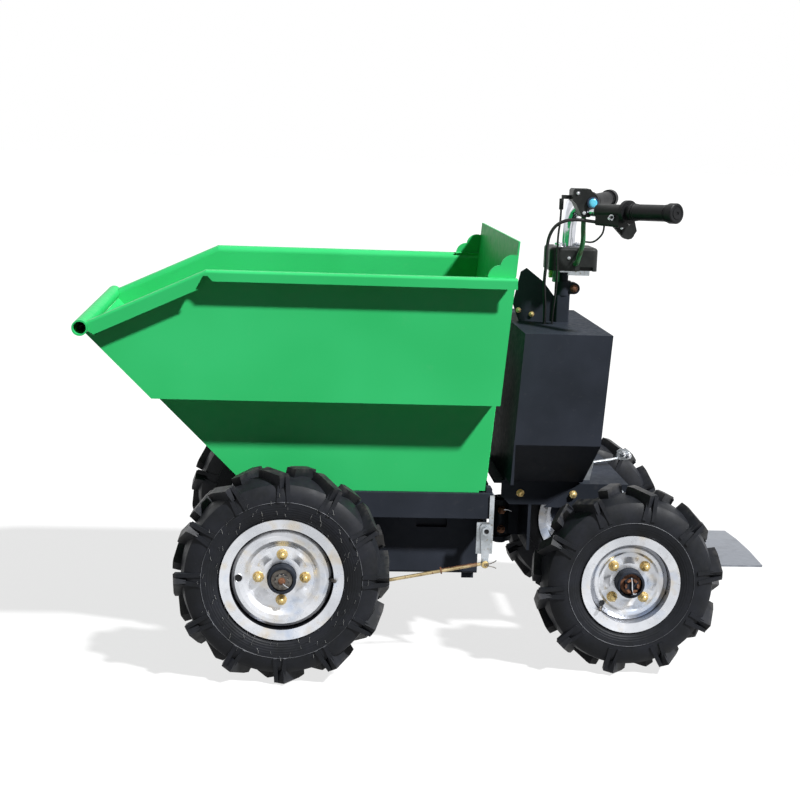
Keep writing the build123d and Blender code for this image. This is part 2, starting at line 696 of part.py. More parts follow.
def foot_plate():
    """Tread plate in three long facets."""
    third = foot_half_width / 3
    points = [(-foot_half_width, foot_z - 5), (-third, foot_z), (third, foot_z),
              (foot_half_width, foot_z - 5)]
    face = make_face(Polyline(*[(foot_front, y, z) for y, z in ribbon(points, foot_wall)], close=True))
    return extrude(face, amount=foot_rear - foot_front, dir=(1, 0, 0))


def foot_arms():
    z = foot_z - 30
    arm = block((wheelbase + rear_beam / 2, foot_rear - 20), (-26, -20), (z + 4, foot_z))
    return both_sides(arm)


def battery_box():
    """Tall housing: upright above the fold, tapering to the chassis below it."""
    side_view = [(box_bottom_x[0], box_bottom), (box_fold_x[0], box_fold), (box_top_x[0], box_top),
                 (box_top_x[1], box_top), (box_fold_x[1], box_fold), (box_bottom_x[1], box_bottom)]
    body = prism(side_view, (-box_half_width, box_half_width))
    cut = [(box_low_half_width, box_bottom - 1), (box_low_half_width, box_bottom),
           (box_half_width, box_fold), (box_half_width + 1, box_fold), (box_half_width + 1, box_bottom - 1)]
    start = box_bottom_x[0] - 1
    face = make_face(Polyline(*[(start, y, z) for y, z in cut], close=True))
    wedge = both_sides(extrude(face, amount=box_top_x[1] - start + 1, dir=(1, 0, 0)))
    front_sheet = block((start, box_fold_x[0] + sheet), (-box_half_width, box_half_width),
                        (box_sheet_low, box_fold))
    return body - (wedge - front_sheet)


def box_angle():
    """Plated angle behind the box, bolting it down to the deck."""
    rear = ((box_bottom_x[1], box_bottom), (box_fold_x[1], box_fold))
    top = box_bottom + box_angle_height
    seat = [(bottom_x(rear, z), z) for z in (box_bottom, top)]
    reach = box_angle_reach
    outline = [seat[0], (seat[0][0] + reach, seat[0][1]), (seat[1][0] + reach, seat[1][1]), seat[1]]
    return prism(outline, (-box_low_half_width + reach, box_low_half_width - reach))


def column():
    """Square column with the split clamp and the bare stem above it."""
    half = column_half
    tube = block((column_x - half, column_x + half), (-half, half), (box_top, column_top))
    tube = fillet(tube.edges().filter_by(Axis.Z), column_round)
    clamp = rod((column_x, 0, column_top), (column_x, 0, clamp_top), half + 2.0)
    lug_end = column_x + half + 8.0
    middle = (column_top + clamp_top) / 2
    clamp += block((column_x, lug_end), (-13, 13), (column_top + 3, clamp_top - 3))
    clamp += rod((lug_end, -13, middle), (lug_end, 13, middle), clamp_height / 2 - 3.0)
    stem = rod((column_x, 0, clamp_top), (column_x, 0, console_z[0] - tray_wall), stem_radius)
    return tube + clamp + stem


def console_tray():
    """Grey bracket that carries the console on the stem."""
    plate = block((column_x - stem_radius - 5.0, tray_x[1]), (-tray_half_width, tray_half_width),
                  (console_z[0] - tray_wall, console_z[0]))
    lip = block((tray_x[0], tray_x[1]), (-tray_half_width, -tray_half_width + 3),
                (console_z[0] - 2 * tray_wall - 2, console_z[0] - tray_wall))
    return plate + lip


def column_brace():
    """Black plate standing on the box ahead of the column."""
    plate = prism([(484, box_top), (474, 690), (470, 702), (484, 768), (496, 776), (533, 748),
                   (column_x - column_half - seat_gap, 716),
                   (column_x - column_half - seat_gap, box_top)], (-3, 3))
    return plate


def console():
    """Moulded housing with a stepped underside and a parting groove."""
    low, high = console_z
    half = console_half_width
    body = block(console_x, (-half, half), console_z)
    body = fillet(body.edges().filter_by(Axis.Z), console_round)
    body = fillet(body.faces().sort_by(Axis.Z)[-1].edges(), console_top_round)
    step = block(console_step, (-half - 1, -tray_half_width - 1), (low - 1, low + console_step_height))
    x = tray_x[0] + 10.0
    groove = block((x, x + 1.5), (-half - 1, -half + 1.5), (low - 1, high - console_top_round))
    return body - both_sides(step) - both_sides(groove)


def bar_route():
    """Left half of the handlebar's centre line, from the console out to the grip's end."""
    foot = (bar_foot_x, -bar_half_foot, console_z[1] + riser_lift)
    return (foot,) + tuple((x, -y, z) for x, y, z in (bar_shoulder, bar_knee, bar_end))


def bar_tube(radius):
    """Round solid along the left half of the bar."""
    path = FilletPolyline(*bar_route(), radius=(bar_bend, knee_bend))
    start = path.location_at(0)
    return sweep(Plane(start.position, z_dir=path.tangent_at(0)) * Circle(radius), path=path)


def handlebar():
    """Twin risers side by side, each bending into its half of the bar."""
    return both_sides(bar_tube(bar_radius))


def bar_run():
    """Outer end of the left bar and its direction towards the knee."""
    knee, end = (Vector(*point) for point in bar_route()[-2:])
    return end, (knee - end).normalized()


def sleeve(near, far, radius):
    """Round sleeve about the left bar between two distances from its end."""
    end, inward = bar_run()
    return rod(end + inward * near, end + inward * far, radius)


def grip():
    """Rubber grip with a ring at its end and a flange at its inner end."""
    body = sleeve(-4.0, grip_length, grip_radius)
    body += sleeve(-4.0, 10.0, grip_radius + grip_collar)
    body += sleeve(grip_length - 9.0, grip_length, grip_radius + 2 * grip_collar)
    return body - bar_tube(bar_radius + seat_gap)


def lever_frame():
    """Plane at the middle of the lever's clamp: X inward along the bar, Z up."""
    end, inward = bar_run()
    middle = end + inward * (lever_from + lever_length / 2)
    return Plane(origin=middle, x_dir=(inward.X, inward.Y, 0), z_dir=(0, 0, 1))


def brake_lever():
    """Lever clamped on the left bar, with its block, folded arm and pivot knob."""
    body = sleeve(lever_from, lever_from + lever_length, lever_radius)
    width, height = lever_block
    block_shape = Pos(0, 0, -lever_block_drop) * Box(lever_length - 8, width, height)
    body += lever_frame() * fillet(block_shape.edges().filter_by(Axis.X), 4.0)
    middle = lever_frame().origin
    x, y, z = middle.X, middle.Y, middle.Z
    arm = prism([(x, z - 22), (x + 20, z - 14), (x + 34, z - 26), (x + 44, z - 14), (x + 50, z - 36),
                 (x + 40, z - 52), (x + 26, z - 52), (x + 4, z - 30)], (y - 9, y + 9))
    knob = rod((x + 32, y - 13, z - 40), (x + 32, y + 10, z - 40), lever_knob_radius)
    return body + arm + knob - bar_tube(bar_radius + seat_gap)


def switch_housing():
    """Housing clamped round the left bar beside the riser, with its button's bezel."""
    x, y, z = switch_middle
    near, far = y - switch_length / 2, y + switch_length / 2
    outline = [(-33, 17), (-33, 37), (-30, 41), (2, 41), (14, 25), (20, 9), (14, -6), (2, -15),
               (-13, -15), (-20, -1), (-27, 12)]
    body = prism([(x + px, z + pz) for px, pz in outline], (near, far))
    body += rod((x + 7, near - 4, z + 14), (x + 7, near, z + 14), button_radius)
    end_x, end_y, low, high = ferrule
    body += block((end_x, x - 30), (end_y - 4, end_y + 4), (z + 19, z + 27))
    body += rod((end_x, end_y, low), (end_x, end_y, high), ferrule_radius)
    return body - bar_tube(bar_radius + seat_gap)


# ---------------------------------------------------------------- cables
loop_cable_radius = 3.4
control_cable_radius = 2.2
thin_cable_radius = 2.0
loom_radius = 5.0
# routes' points (x, y, z), from the bar's controls to where each enters its housing
loop_cable_route = [(614.87, -129.9, 882.7), (604.43, -113.43, 882.7), (582.0, -113.0, 885.5),
                    (556.0, -110.0, 884.5), (535.0, -101.0, 874.0), (523.5, -91.0, 852.0),
                    (521.0, -83.0, 822.0), (523.5, -74.0, 790.0), (522.5, -65.0, 760.0),
                    (525.0, -57.0, 731.0), (529.0, -50.0, 704.0), (530.0, -48.0, 684.0),
                    (530.0, -48.0, box_top)]
control_cable_route = [ferrule[:3], (547.0, -80.0, 880.0), (544.0, -78.0, 852.0),
                       (545.0, -73.0, 822.0), (548.0, -66.0, 790.0), (549.5, -58.0, 758.0),
                       (549.5, -50.0, 729.0), (548.0, -44.0, 702.0), (547.0, -42.0, 684.0),
                       (547.0, -42.0, box_top)]
thin_cable_route = [(624.4, -139.4, 876.6), (624.4, -139.4, 864.0), (619.0, -124.0, 851.0),
                    (614.0, -103.0, 842.0), (610.0, -80.0, 838.5), (606.0, -58.0, 838.0),
                    (602.5, -44.0, 837.0), (602.0, -36.0, 833.0), (602.0, -36.0, console_z[1])]
loom_route = [(592.5, -88.0, switch_middle[2] - 15.0), (592.5, -88.0, 866.0),
              (595.0, -84.0, 848.0), (595.0, -76.0, 828.0), (591.0, -68.0, 808.0),
              (588.0, -63.0, 791.0), (588.0, -console_half_width, 791.0)]


def arc_radii(route):
    """Radius of each bend: 0.45 of the shorter run, over the tangent of half the turn."""
    points = [Vector(*point) for point in route]
    radii = []
    for before, corner, after in zip(points, points[1:], points[2:]):
        runs = (corner - before), (after - corner)
        turn = runs[0].get_angle(runs[1])
        radii.append(0.45 * min(run.length for run in runs) / tan(radians(turn) / 2))
    return radii


def cable(name, route, radius):
    """Round cable along its route of straight runs and tangent arcs."""
    radii = arc_radii(route)
    path = FilletPolyline(*route, radius=radii)
    tube = sweep(Plane(path.position_at(0), z_dir=path.tangent_at(0)) * Circle(radius), path=path)
    expected = pi * radius ** 2 * path.length
    print(name, "radii", [round(r, 1) for r in radii], "length", round(path.length, 1),
          "volume over section times length", round(tube.volume / expected, 4))
    return tube


# ---------------------------------------------------------------- the machine
def place_wheel(shape, x, track, w, right):
    """Wheel piece drawn about its own centre, put on its axle."""
    shape = on_right(shape) if right else shape
    return Pos(x, (track if right else -track) / 2, w["radius"]) * shape


def pieces():
    """Every node's name and solid."""
    yield "left_rail", rail()
    yield "right_rail", on_right(rail())
    yield "cross_members", cross_members()
    yield "hinge_brackets", both_sides(hinge_bracket())
    yield "pivot_bracket", pivot_bracket()
    yield "front_axle", front_axle()
    yield "drive_motor", drive_motor()
    yield "battery_case", battery_case()
    yield "brake_bracket", brake_bracket()
    yield "brake_rod", brake_rod()
    yield "skip_side_left", skip_side()
    yield "skip_side_right", on_right(skip_side())
    yield "skip_front_sheet", skip_front_sheet()
    yield "skip_floor", skip_floor()
    yield "skip_rear_wall", skip_rear_wall()
    yield "skip_rim_left", skip_rim()
    yield "skip_rim_right", on_right(skip_rim())
    yield "skip_lip_tube", lip_tube()
    yield "skip_gussets", both_sides(skip_gusset())
    yield "skip_runners", both_sides(skip_runner())
    yield "skip_hinge_lugs", both_sides(skip_hinge_lug())
    yield "skip_rests", both_sides(skip_rest())
    yield "rear_frame", rear_frame()
    yield "rear_deck", rear_deck()
    yield "rear_axle", rear_axle()
    yield "foot_plate", foot_plate()
    yield "foot_arms", foot_arms()
    yield "battery_box", battery_box()
    yield "box_angle", box_angle()
    yield "steering_column", column()
    yield "column_brace", column_brace()
    yield "console_tray", console_tray()
    yield "console", console()
    yield "handlebar", handlebar()
    yield "grip_left", grip()
    yield "grip_right", on_right(grip())
    yield "brake_lever", brake_lever()
    yield "switch_housing", switch_housing()
    for name, route, radius in (("loop_cable", loop_cable_route, loop_cable_radius),
                                ("control_cable", control_cable_route, control_cable_radius),
                                ("thin_cable", thin_cable_route, thin_cable_radius),
                                ("wire_loom", loom_route, loom_radius)):
        yield name, cable(name, route, radius)
    for end, x, track, w in (("front", 0.0, front_track, front_wheel),
                             ("rear", wheelbase, rear_track, rear_wheel)):
        parts = {"tyre": tyre(w), "rim": rim(w), "hub": hub(w)}
        for right in (False, True):
            for piece, shape in parts.items():
                side = "right" if right else "left"
                yield f"{end}_{side}_{piece}", place_wheel(shape, x, track, w, right)


length_front = lip_x - lip_radius
middle_x = (length_front + foot_rear) / 2
for name, shape in pieces():
    export_step(Pos(-middle_x, 0, 0) * shape, f"parts/{name}.step")
print("origin from the front axle:", -middle_x)
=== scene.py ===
import json
import math

import bmesh
import bpy
from mathutils import Matrix, Vector


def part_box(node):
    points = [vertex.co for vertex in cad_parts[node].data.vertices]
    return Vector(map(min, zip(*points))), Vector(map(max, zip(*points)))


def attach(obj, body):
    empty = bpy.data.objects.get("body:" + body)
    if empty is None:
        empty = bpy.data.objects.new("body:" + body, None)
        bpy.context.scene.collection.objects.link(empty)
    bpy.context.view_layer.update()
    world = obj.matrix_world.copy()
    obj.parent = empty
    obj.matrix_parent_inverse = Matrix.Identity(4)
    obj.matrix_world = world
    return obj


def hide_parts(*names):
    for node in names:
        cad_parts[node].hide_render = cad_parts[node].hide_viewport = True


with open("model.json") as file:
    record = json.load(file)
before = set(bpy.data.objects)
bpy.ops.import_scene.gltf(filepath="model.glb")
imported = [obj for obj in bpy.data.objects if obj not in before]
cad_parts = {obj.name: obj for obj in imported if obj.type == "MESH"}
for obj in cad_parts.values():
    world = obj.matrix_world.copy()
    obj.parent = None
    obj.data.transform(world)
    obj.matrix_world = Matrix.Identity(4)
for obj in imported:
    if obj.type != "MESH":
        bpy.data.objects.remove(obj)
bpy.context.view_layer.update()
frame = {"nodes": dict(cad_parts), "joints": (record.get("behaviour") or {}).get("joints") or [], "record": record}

scene = bpy.context.scene
nodes = frame["nodes"]
joints = {joint["name"]: joint for joint in frame["joints"]}
SLOT_OF = {part["node"]: part["material_slot"] for part in frame["record"]["subparts"]}


axle_x = joints["front_left_roll"]["pos_m"][0]


def at(x, y, z):
    """Point given in millimetres behind the front axle, to the right and above the ground."""
    return Vector((x / 1000 + axle_x, y / 1000, z / 1000))


def linear(red, green, blue):
    """Linear colour of an sRGB one given in 0-255 steps."""
    def step(value):
        share = value / 255
        return share / 12.92 if share <= 0.04045 else ((share + 0.055) / 1.055) ** 2.4
    return (step(red), step(green), step(blue), 1.0)


# ---------------------------------------------------------------- view and light
camera_place = Vector((-0.3184, -3.2113, 1.0598))
camera_yaw, camera_pitch, camera_roll = 0.0807, -0.1747, 0.0360
camera_lens = 70.13            # mm on a 36 mm sensor
sun_towards = Vector((0.504, -0.451, 0.737))
sun_strength = 5.9
sun_softness = math.radians(4.0)
back_towards = Vector((-0.50, 0.76, 0.41))   # weak lamp behind the machine
back_strength = 0.30
back_softness = math.radians(50.0)
sky_strength = 0.055


def make_camera():
    """Camera at the height of a standing person, a little above the skip's rim."""
    forward = Vector((math.sin(camera_yaw) * math.cos(camera_pitch),
                      math.cos(camera_yaw) * math.cos(camera_pitch), math.sin(camera_pitch)))
    right = Vector((math.cos(camera_yaw), -math.sin(camera_yaw), 0.0))
    up = right.cross(forward)
    turned_right = right * math.cos(camera_roll) + up * math.sin(camera_roll)
    turned_up = up * math.cos(camera_roll) - right * math.sin(camera_roll)
    camera = bpy.data.objects.new("camera", bpy.data.cameras.new("camera"))
    scene.collection.objects.link(camera)
    camera.matrix_world = Matrix.Translation(camera_place) @ Matrix(
        (turned_right, turned_up, -forward)).transposed().to_4x4()
    camera.data.lens = camera_lens
    camera.data.sensor_width = 36.0
    camera.data.clip_end = 100.0
    scene.camera = camera


def seen_share(tree, diffuse_value, seen_value):
    """Value that camera, glossy and transmitted rays see, and the one that lights the object."""
    path = tree.nodes.new("ShaderNodeLightPath")
    either = tree.nodes.new("ShaderNodeMath")
    either.operation = "MAXIMUM"
    tree.links.new(path.outputs["Is Camera Ray"], either.inputs[0])
    tree.links.new(path.outputs["Is Glossy Ray"], either.inputs[1])
    all_three = tree.nodes.new("ShaderNodeMath")
    all_three.operation = "MAXIMUM"
    tree.links.new(either.outputs[0], all_three.inputs[0])
    tree.links.new(path.outputs["Is Transmission Ray"], all_three.inputs[1])
    spread = tree.nodes.new("ShaderNodeMapRange")
    tree.links.new(all_three.outputs[0], spread.inputs["Value"])
    spread.inputs["To Min"].default_value = diffuse_value
    spread.inputs["To Max"].default_value = seen_value
    return spread.outputs["Result"]


def make_sun(name, towards, strength, softness):
    sun = bpy.data.objects.new(name, bpy.data.lights.new(name, "SUN"))
    scene.collection.objects.link(sun)
    sun.data.energy = strength
    sun.data.angle = softness
    sun.rotation_mode = "QUATERNION"
    sun.rotation_quaternion = towards.to_track_quat("Z", "Y")


def make_light():
    """A high key lamp from the rear left, a weak one behind, and an even white sky."""
    world = bpy.data.worlds.new("sky")
    scene.world = world
    world.use_nodes = True
    background = world.node_tree.nodes["Background"]
    background.inputs["Color"].default_value = (1.0, 1.0, 1.0, 1.0)
    world.node_tree.links.new(seen_share(world.node_tree, sky_strength, 1.0),
                              background.inputs["Strength"])
    make_sun("key", sun_towards, sun_strength, sun_softness)
    make_sun("back", back_towards, back_strength, back_softness)
    scene.view_settings.view_transform = "Standard"


floor_reach = 40.0
floor_colour = 0.24            # as seen
floor_bounce = 0.07            # as it lights the machine from below
floor_glow = 0.75              # seen on top, so that the bare floor is white


def make_floor():
    mesh = bpy.data.meshes.new("floor")
    reach = floor_reach
    mesh.from_pydata([(-reach, -reach, 0), (reach, -reach, 0), (reach, reach, 0), (-reach, reach, 0)],
                     [], [(0, 1, 2, 3)])
    floor = bpy.data.objects.new("floor", mesh)
    scene.collection.objects.link(floor)
    material = bpy.data.materials.new("pale_floor")
    material.use_nodes = True
    tree = material.node_tree
    shader = tree.nodes["Principled BSDF"]
    tree.links.new(seen_share(tree, floor_bounce, floor_colour), shader.inputs["Base Color"])
    shader.inputs["Roughness"].default_value = 0.9
    shader.inputs["Specular IOR Level"].default_value = 0.1
    shader.inputs["Emission Color"].default_value = (1.0, 1.0, 1.0, 1.0)
    tree.links.new(seen_share(tree, 0.0, floor_glow), shader.inputs["Emission Strength"])
    mesh.materials.append(material)


# ---------------------------------------------------------------- finishes
class Finish:
    """A material with one Principled shader, fed by patterns on Object coordinates."""

    def __init__(self, name, roughness, metallic=0.0, centre=(0.0, 0.0, 0.0), **sockets):
        self.material = bpy.data.materials.new(name)
        self.material.use_nodes = True
        self.tree = self.material.node_tree
        self.shader = self.tree.nodes["Principled BSDF"]
        self.shader.inputs["Metallic"].default_value = metallic
        self.shader.inputs["Roughness"].default_value = roughness
        for socket, value in sockets.items():
            self.shader.inputs[socket.replace("_", " ")].default_value = value
        coordinates = self.tree.nodes.new("ShaderNodeTexCoord")
        mapping = self.tree.nodes.new("ShaderNodeMapping")
        mapping.inputs["Location"].default_value = [-value for value in centre]
        self.link(coordinates.outputs["Object"], mapping.inputs["Vector"])
        self.place = mapping.outputs["Vector"]
        split = self.tree.nodes.new("ShaderNodeSeparateXYZ")
        self.link(self.place, split.inputs[0])
        self.along, self.across, self.height = split.outputs

    def link(self, output, socket):
        self.tree.links.new(output, socket)

    def put(self, value, socket):
        """Links an output to a socket, or sets the socket to a plain value."""
        if isinstance(value, bpy.types.NodeSocket):
            self.link(value, socket)
        else:
            socket.default_value = value

    def noise(self, scale, detail=3.0, rough=0.55, stretch=None):
        node = self.tree.nodes.new("ShaderNodeTexNoise")
        node.inputs["Scale"].default_value = scale
        node.inputs["Detail"].default_value = detail
        node.inputs["Roughness"].default_value = rough
        place = self.place
        if stretch:
            mapping = self.tree.nodes.new("ShaderNodeMapping")
            mapping.inputs["Scale"].default_value = stretch
            self.link(place, mapping.inputs["Vector"])
            place = mapping.outputs["Vector"]
        self.link(place, node.inputs["Vector"])
        return node.outputs["Fac"]

    def math(self, operation, first, second=0.0, third=0.0):
        node = self.tree.nodes.new("ShaderNodeMath")
        node.operation = operation
        for value, socket in zip((first, second, third), node.inputs):
            self.put(value, socket)
        return node.outputs[0]

    def steps(self, value, low, high, to_low=0.0, to_high=1.0):
        """Value taken from low..high to to_low..to_high, held beyond both ends."""
        node = self.tree.nodes.new("ShaderNodeMapRange")
        self.link(value, node.inputs["Value"])
        node.inputs["From Min"].default_value = low
        node.inputs["From Max"].default_value = high
        node.inputs["To Min"].default_value = to_low
        node.inputs["To Max"].default_value = to_high
        return node.outputs["Result"]

    def band(self, value, middle, half):
        """1 at the middle of a band, falling to 0 at its two edges."""
        gap = self.math("ABSOLUTE", self.math("SUBTRACT", value, middle))
        return self.steps(gap, 0.0, half, 1.0, 0.0)

    def blend(self, share, first, second):
        node = self.tree.nodes.new("ShaderNodeMix")
        node.data_type = "RGBA"
        self.put(share, node.inputs[0])
        self.put(first, node.inputs[6])
        self.put(second, node.inputs[7])
        return node.outputs[2]

    def bump(self, height, strength, distance=0.001):
        node = self.tree.nodes.new("ShaderNodeBump")
        node.inputs["Strength"].default_value = strength
        node.inputs["Distance"].default_value = distance
        self.link(height, node.inputs["Height"])
        if self.shader.inputs["Normal"].links:
            self.link(self.shader.inputs["Normal"].links[0].from_socket, node.inputs["Normal"])
        self.link(node.outputs["Normal"], self.shader.inputs["Normal"])

    def colour(self, value):
        self.put(value, self.shader.inputs["Base Color"])

    def rough(self, value):
        self.put(value, self.shader.inputs["Roughness"])

    def dusty_edge(self, gloss):
        """Gloss of a dusty coat: gone where the surface is seen edge-on."""
        weight = self.tree.nodes.new("ShaderNodeLayerWeight")
        self.link(self.steps(weight.outputs["Facing"], 0.45, 0.82, gloss, gloss / 12),
                  self.shader.inputs["Specular IOR Level"])

    def radius(self):
        """Distance from the axis along Y through the pattern's centre."""
        square = self.math("MULTIPLY", self.along, self.along)
        return self.math("SQRT", self.math("MULTIPLY_ADD", self.height, self.height, square))

    def turn(self):
        """Angle about that axis."""
        return self.math("ARCTAN2", self.height, self.along)


def green_paint():
    finish = Finish("green_paint", 0.34)
    finish.dusty_edge(0.16)
    drift = finish.steps(finish.noise(4.0, 2.0), 0.35, 0.65)
    body = finish.blend(drift, linear(48, 187, 104), linear(55, 195, 113))
    dust = finish.steps(finish.noise(34.0, 6.0, 0.7), 0.62, 0.80, 0.0, 0.10)
    finish.colour(finish.blend(dust, body, linear(120, 190, 140)))
    finish.rough(finish.steps(finish.noise(60.0, 4.0), 0.3, 0.7, 0.28, 0.42))
    finish.bump(finish.noise(420.0, 2.0), 0.06, 0.0005)
    finish.bump(finish.noise(7.0, 1.0), 0.12, 0.004)
    return finish.material


def dark_paint():
    finish = Finish("dark_paint", 0.42)
    finish.dusty_edge(0.07)
    drift = finish.steps(finish.noise(7.0, 3.0), 0.35, 0.65)
    body = finish.blend(drift, linear(40, 44, 51), linear(50, 54, 63))
    dust = finish.steps(finish.noise(55.0, 7.0, 0.72), 0.58, 0.82, 0.0, 0.22)
    finish.colour(finish.blend(dust, body, linear(96, 94, 92)))
    finish.rough(finish.steps(finish.noise(90.0, 4.0), 0.3, 0.7, 0.36, 0.54))
    finish.bump(finish.noise(700.0, 2.0), 0.10, 0.0005)
    return finish.material


def tyre_rubber(name, centre, ring, flange, lug_top):
    """Rubber with a raised ring at the lugs' feet, a painted highlight along that ring, fine mould rings inside it
    and dusty lug tops.
    """
    finish = Finish(name, 0.5, centre=centre, Specular_IOR_Level=0.15)
    radius = finish.radius()
    drift = finish.steps(finish.noise(26.0, 5.0, 0.65), 0.35, 0.68)
    body = finish.blend(drift, linear(23, 25, 28), linear(33, 35, 41))
    dust = finish.math("MULTIPLY", finish.steps(finish.noise(90.0, 6.0, 0.75), 0.40, 0.70),
                       finish.steps(radius, lug_top - 0.012, lug_top, 0.05, 0.75))
    body = finish.blend(dust, body, linear(88, 86, 84))
    scuff = finish.steps(finish.noise(210.0, 4.0, 0.7), 0.64, 0.74, 0.0, 0.30)
    body = finish.blend(scuff, body, linear(72, 73, 76))
    # painted highlight: a pale bluish line along the raised ring's ridge, patchy along its length
    line = finish.steps(finish.band(radius, ring, 0.0012), 0.25, 0.70, 0.0, 0.65)
    ridge_highlight = finish.math("MULTIPLY", line,
                            finish.steps(finish.noise(24.0, 3.0), 0.38, 0.56, 0.25, 1.0))
    finish.colour(finish.blend(ridge_highlight, body, linear(128, 130, 136)))
    finish.rough(finish.steps(finish.noise(45.0, 4.0), 0.3, 0.7, 0.40, 0.60))
    waves = finish.math("SINE", finish.math("MULTIPLY", radius, 2 * math.pi / 0.0046))
    within = finish.math("MULTIPLY", finish.steps(radius, flange + 0.002, flange + 0.006),
                         finish.steps(radius, ring - 0.010, ring - 0.006, 1.0, 0.0))
    finish.bump(finish.math("MULTIPLY", waves, within), 0.35, 0.0005)
    finish.bump(finish.band(radius, ring, 0.0014), 0.9, 0.0016)
    finish.bump(finish.noise(900.0, 3.0), 0.20, 0.0004)
    return finish.material


def rim_silver(name, centre, disc, lobe_radius, lobe_turn):
    """Silvered steel with four pressed lobes between the bolts and a dark joint round the disc."""
    finish = Finish(name, 0.30, 0.72, centre=centre)
    radius = finish.radius()
    drift = finish.steps(finish.noise(18.0, 4.0), 0.35, 0.68)
    body = finish.blend(drift, linear(200, 203, 209), linear(224, 226, 231))
    warm = finish.steps(finish.noise(16.0, 3.0, 0.6), 0.54, 0.66, 0.0, 0.55)
    body = finish.blend(warm, body, linear(206, 190, 160))
    cool = finish.steps(finish.noise(13.0, 3.0, 0.6, (1.0, 1.0, -1.3)), 0.55, 0.68, 0.0, 0.50)
    body = finish.blend(cool, body, linear(160, 182, 214))
    grime = finish.steps(finish.noise(70.0, 8.0, 0.7), 0.56, 0.80, 0.0, 0.40)
    body = finish.blend(grime, body, linear(110, 104, 98))
    joint = finish.steps(finish.band(radius, disc, 0.0016), 0.25, 0.60)
    finish.colour(finish.blend(joint, body, linear(24, 26, 32)))
    finish.rough(finish.steps(finish.noise(60.0, 4.0), 0.3, 0.7, 0.22, 0.42))
    turned = finish.math("SUBTRACT", finish.turn(), lobe_turn)
    lobes = finish.math("COSINE", finish.math("MULTIPLY", turned, 4.0))
    lobes = finish.math("MULTIPLY", finish.steps(lobes, 0.10, 0.95), finish.band(radius, lobe_radius, 0.013))
    finish.bump(lobes, 1.0, 0.0045)
    finish.bump(finish.noise(34.0, 3.0), 0.30, 0.0020)
    finish.bump(finish.noise(500.0, 2.0), 0.1, 0.0005)
    return finish.material


def metal(name, low, high, roughness, metallic=1.0, grain=220.0, spots=None, spread=0.10):
    """Bare or plated metal between two colours, with fine grain and, where given, spots of rust."""
    finish = Finish(name, roughness, metallic)
    drift = finish.steps(finish.noise(grain / 6, 4.0), 0.35, 0.68)
    body = finish.blend(drift, linear(*low), linear(*high))
    if spots:
        rust = finish.steps(finish.noise(grain, 6.0, 0.7), 0.66 - spread, 0.66)
        body = finish.blend(rust, body, linear(*spots))
    finish.colour(body)
    finish.rough(finish.steps(finish.noise(grain, 4.0), 0.3, 0.7, roughness * 0.8, roughness * 1.3))
    finish.bump(finish.noise(grain * 3, 3.0), 0.12, 0.0004)
    return finish.material


def tread_aluminium():
    """Worn sheet with long brushed scratches along the machine."""
    finish = Finish("tread_aluminium", 0.42, 0.75)
    brushed = finish.noise(60.0, 6.0, 0.7, (1.0, 14.0, 1.0))
    body = finish.blend(finish.steps(brushed, 0.30, 0.72), linear(118, 122, 130), linear(160, 165, 174))
    stain = finish.steps(finish.noise(22.0, 5.0, 0.7), 0.52, 0.74, 0.0, 0.5)
    finish.colour(finish.blend(stain, body, linear(104, 108, 114)))
    finish.rough(finish.steps(brushed, 0.3, 0.7, 0.32, 0.55))
    finish.bump(brushed, 0.20, 0.0005)
    return finish.material


def chrome():
    """Plated tube, faintly cloudy."""
    finish = Finish("chrome_bar", 0.10, 1.0)
    drift = finish.steps(finish.noise(30.0, 3.0), 0.35, 0.68)
    finish.colour(finish.blend(drift, linear(176, 179, 186), linear(206, 208, 214)))
    finish.rough(finish.steps(finish.noise(120.0, 4.0), 0.3, 0.7, 0.07, 0.18))
    finish.bump(finish.noise(260.0, 2.0), 0.04, 0.0003)
    return finish.material


def moulded(name, low, high, roughness, grain=900.0, depth=0.2, gloss=0.25):
    """Moulded plastic or rubber with a fine grain."""
    finish = Finish(name, roughness, Specular_IOR_Level=gloss)
    drift = finish.steps(finish.noise(40.0, 4.0), 0.35, 0.68)
    finish.colour(finish.blend(drift, linear(*low), linear(*high)))
    finish.rough(finish.steps(finish.noise(80.0, 4.0), 0.3, 0.7, roughness * 0.85, roughness * 1.15))
    finish.bump(finish.noise(grain, 3.0), depth, 0.0004)
    return finish.material


def loom_sheath():
    """Woven green sheath: two crossing sets of fine threads."""
    finish = Finish("loom_green", 0.55)
    threads = [finish.math("SINE", finish.math("MULTIPLY", finish.math(way, finish.height, finish.across),
                                               2 * math.pi / 0.0022)) for way in ("ADD", "SUBTRACT")]
    weave = finish.math("MAXIMUM", *threads)
    body = finish.blend(finish.steps(weave, -0.2, 1.0), linear(16, 60, 34), linear(46, 132, 76))
    worn = finish.steps(finish.noise(70.0, 4.0), 0.50, 0.66, 0.0, 0.7)
    finish.colour(finish.blend(worn, body, linear(96, 104, 74)))
    finish.bump(weave, 0.5, 0.0004)
    return finish.material


def wheel_centre(end):
    return Vector(joints[f"{end}_left_roll"]["pos_m"])


mould_ring = {"front": 0.152, "rear": 0.125}     # radius of the raised ring at the lugs' feet
disc_joint = {"front": 0.0975, "rear": 0.0790}   # radius where the disc meets the barrel
lobe_radius = {"front": 0.052, "rear": 0.050}
lobe_turn = {"front": math.radians(45), "rear": 0.0}


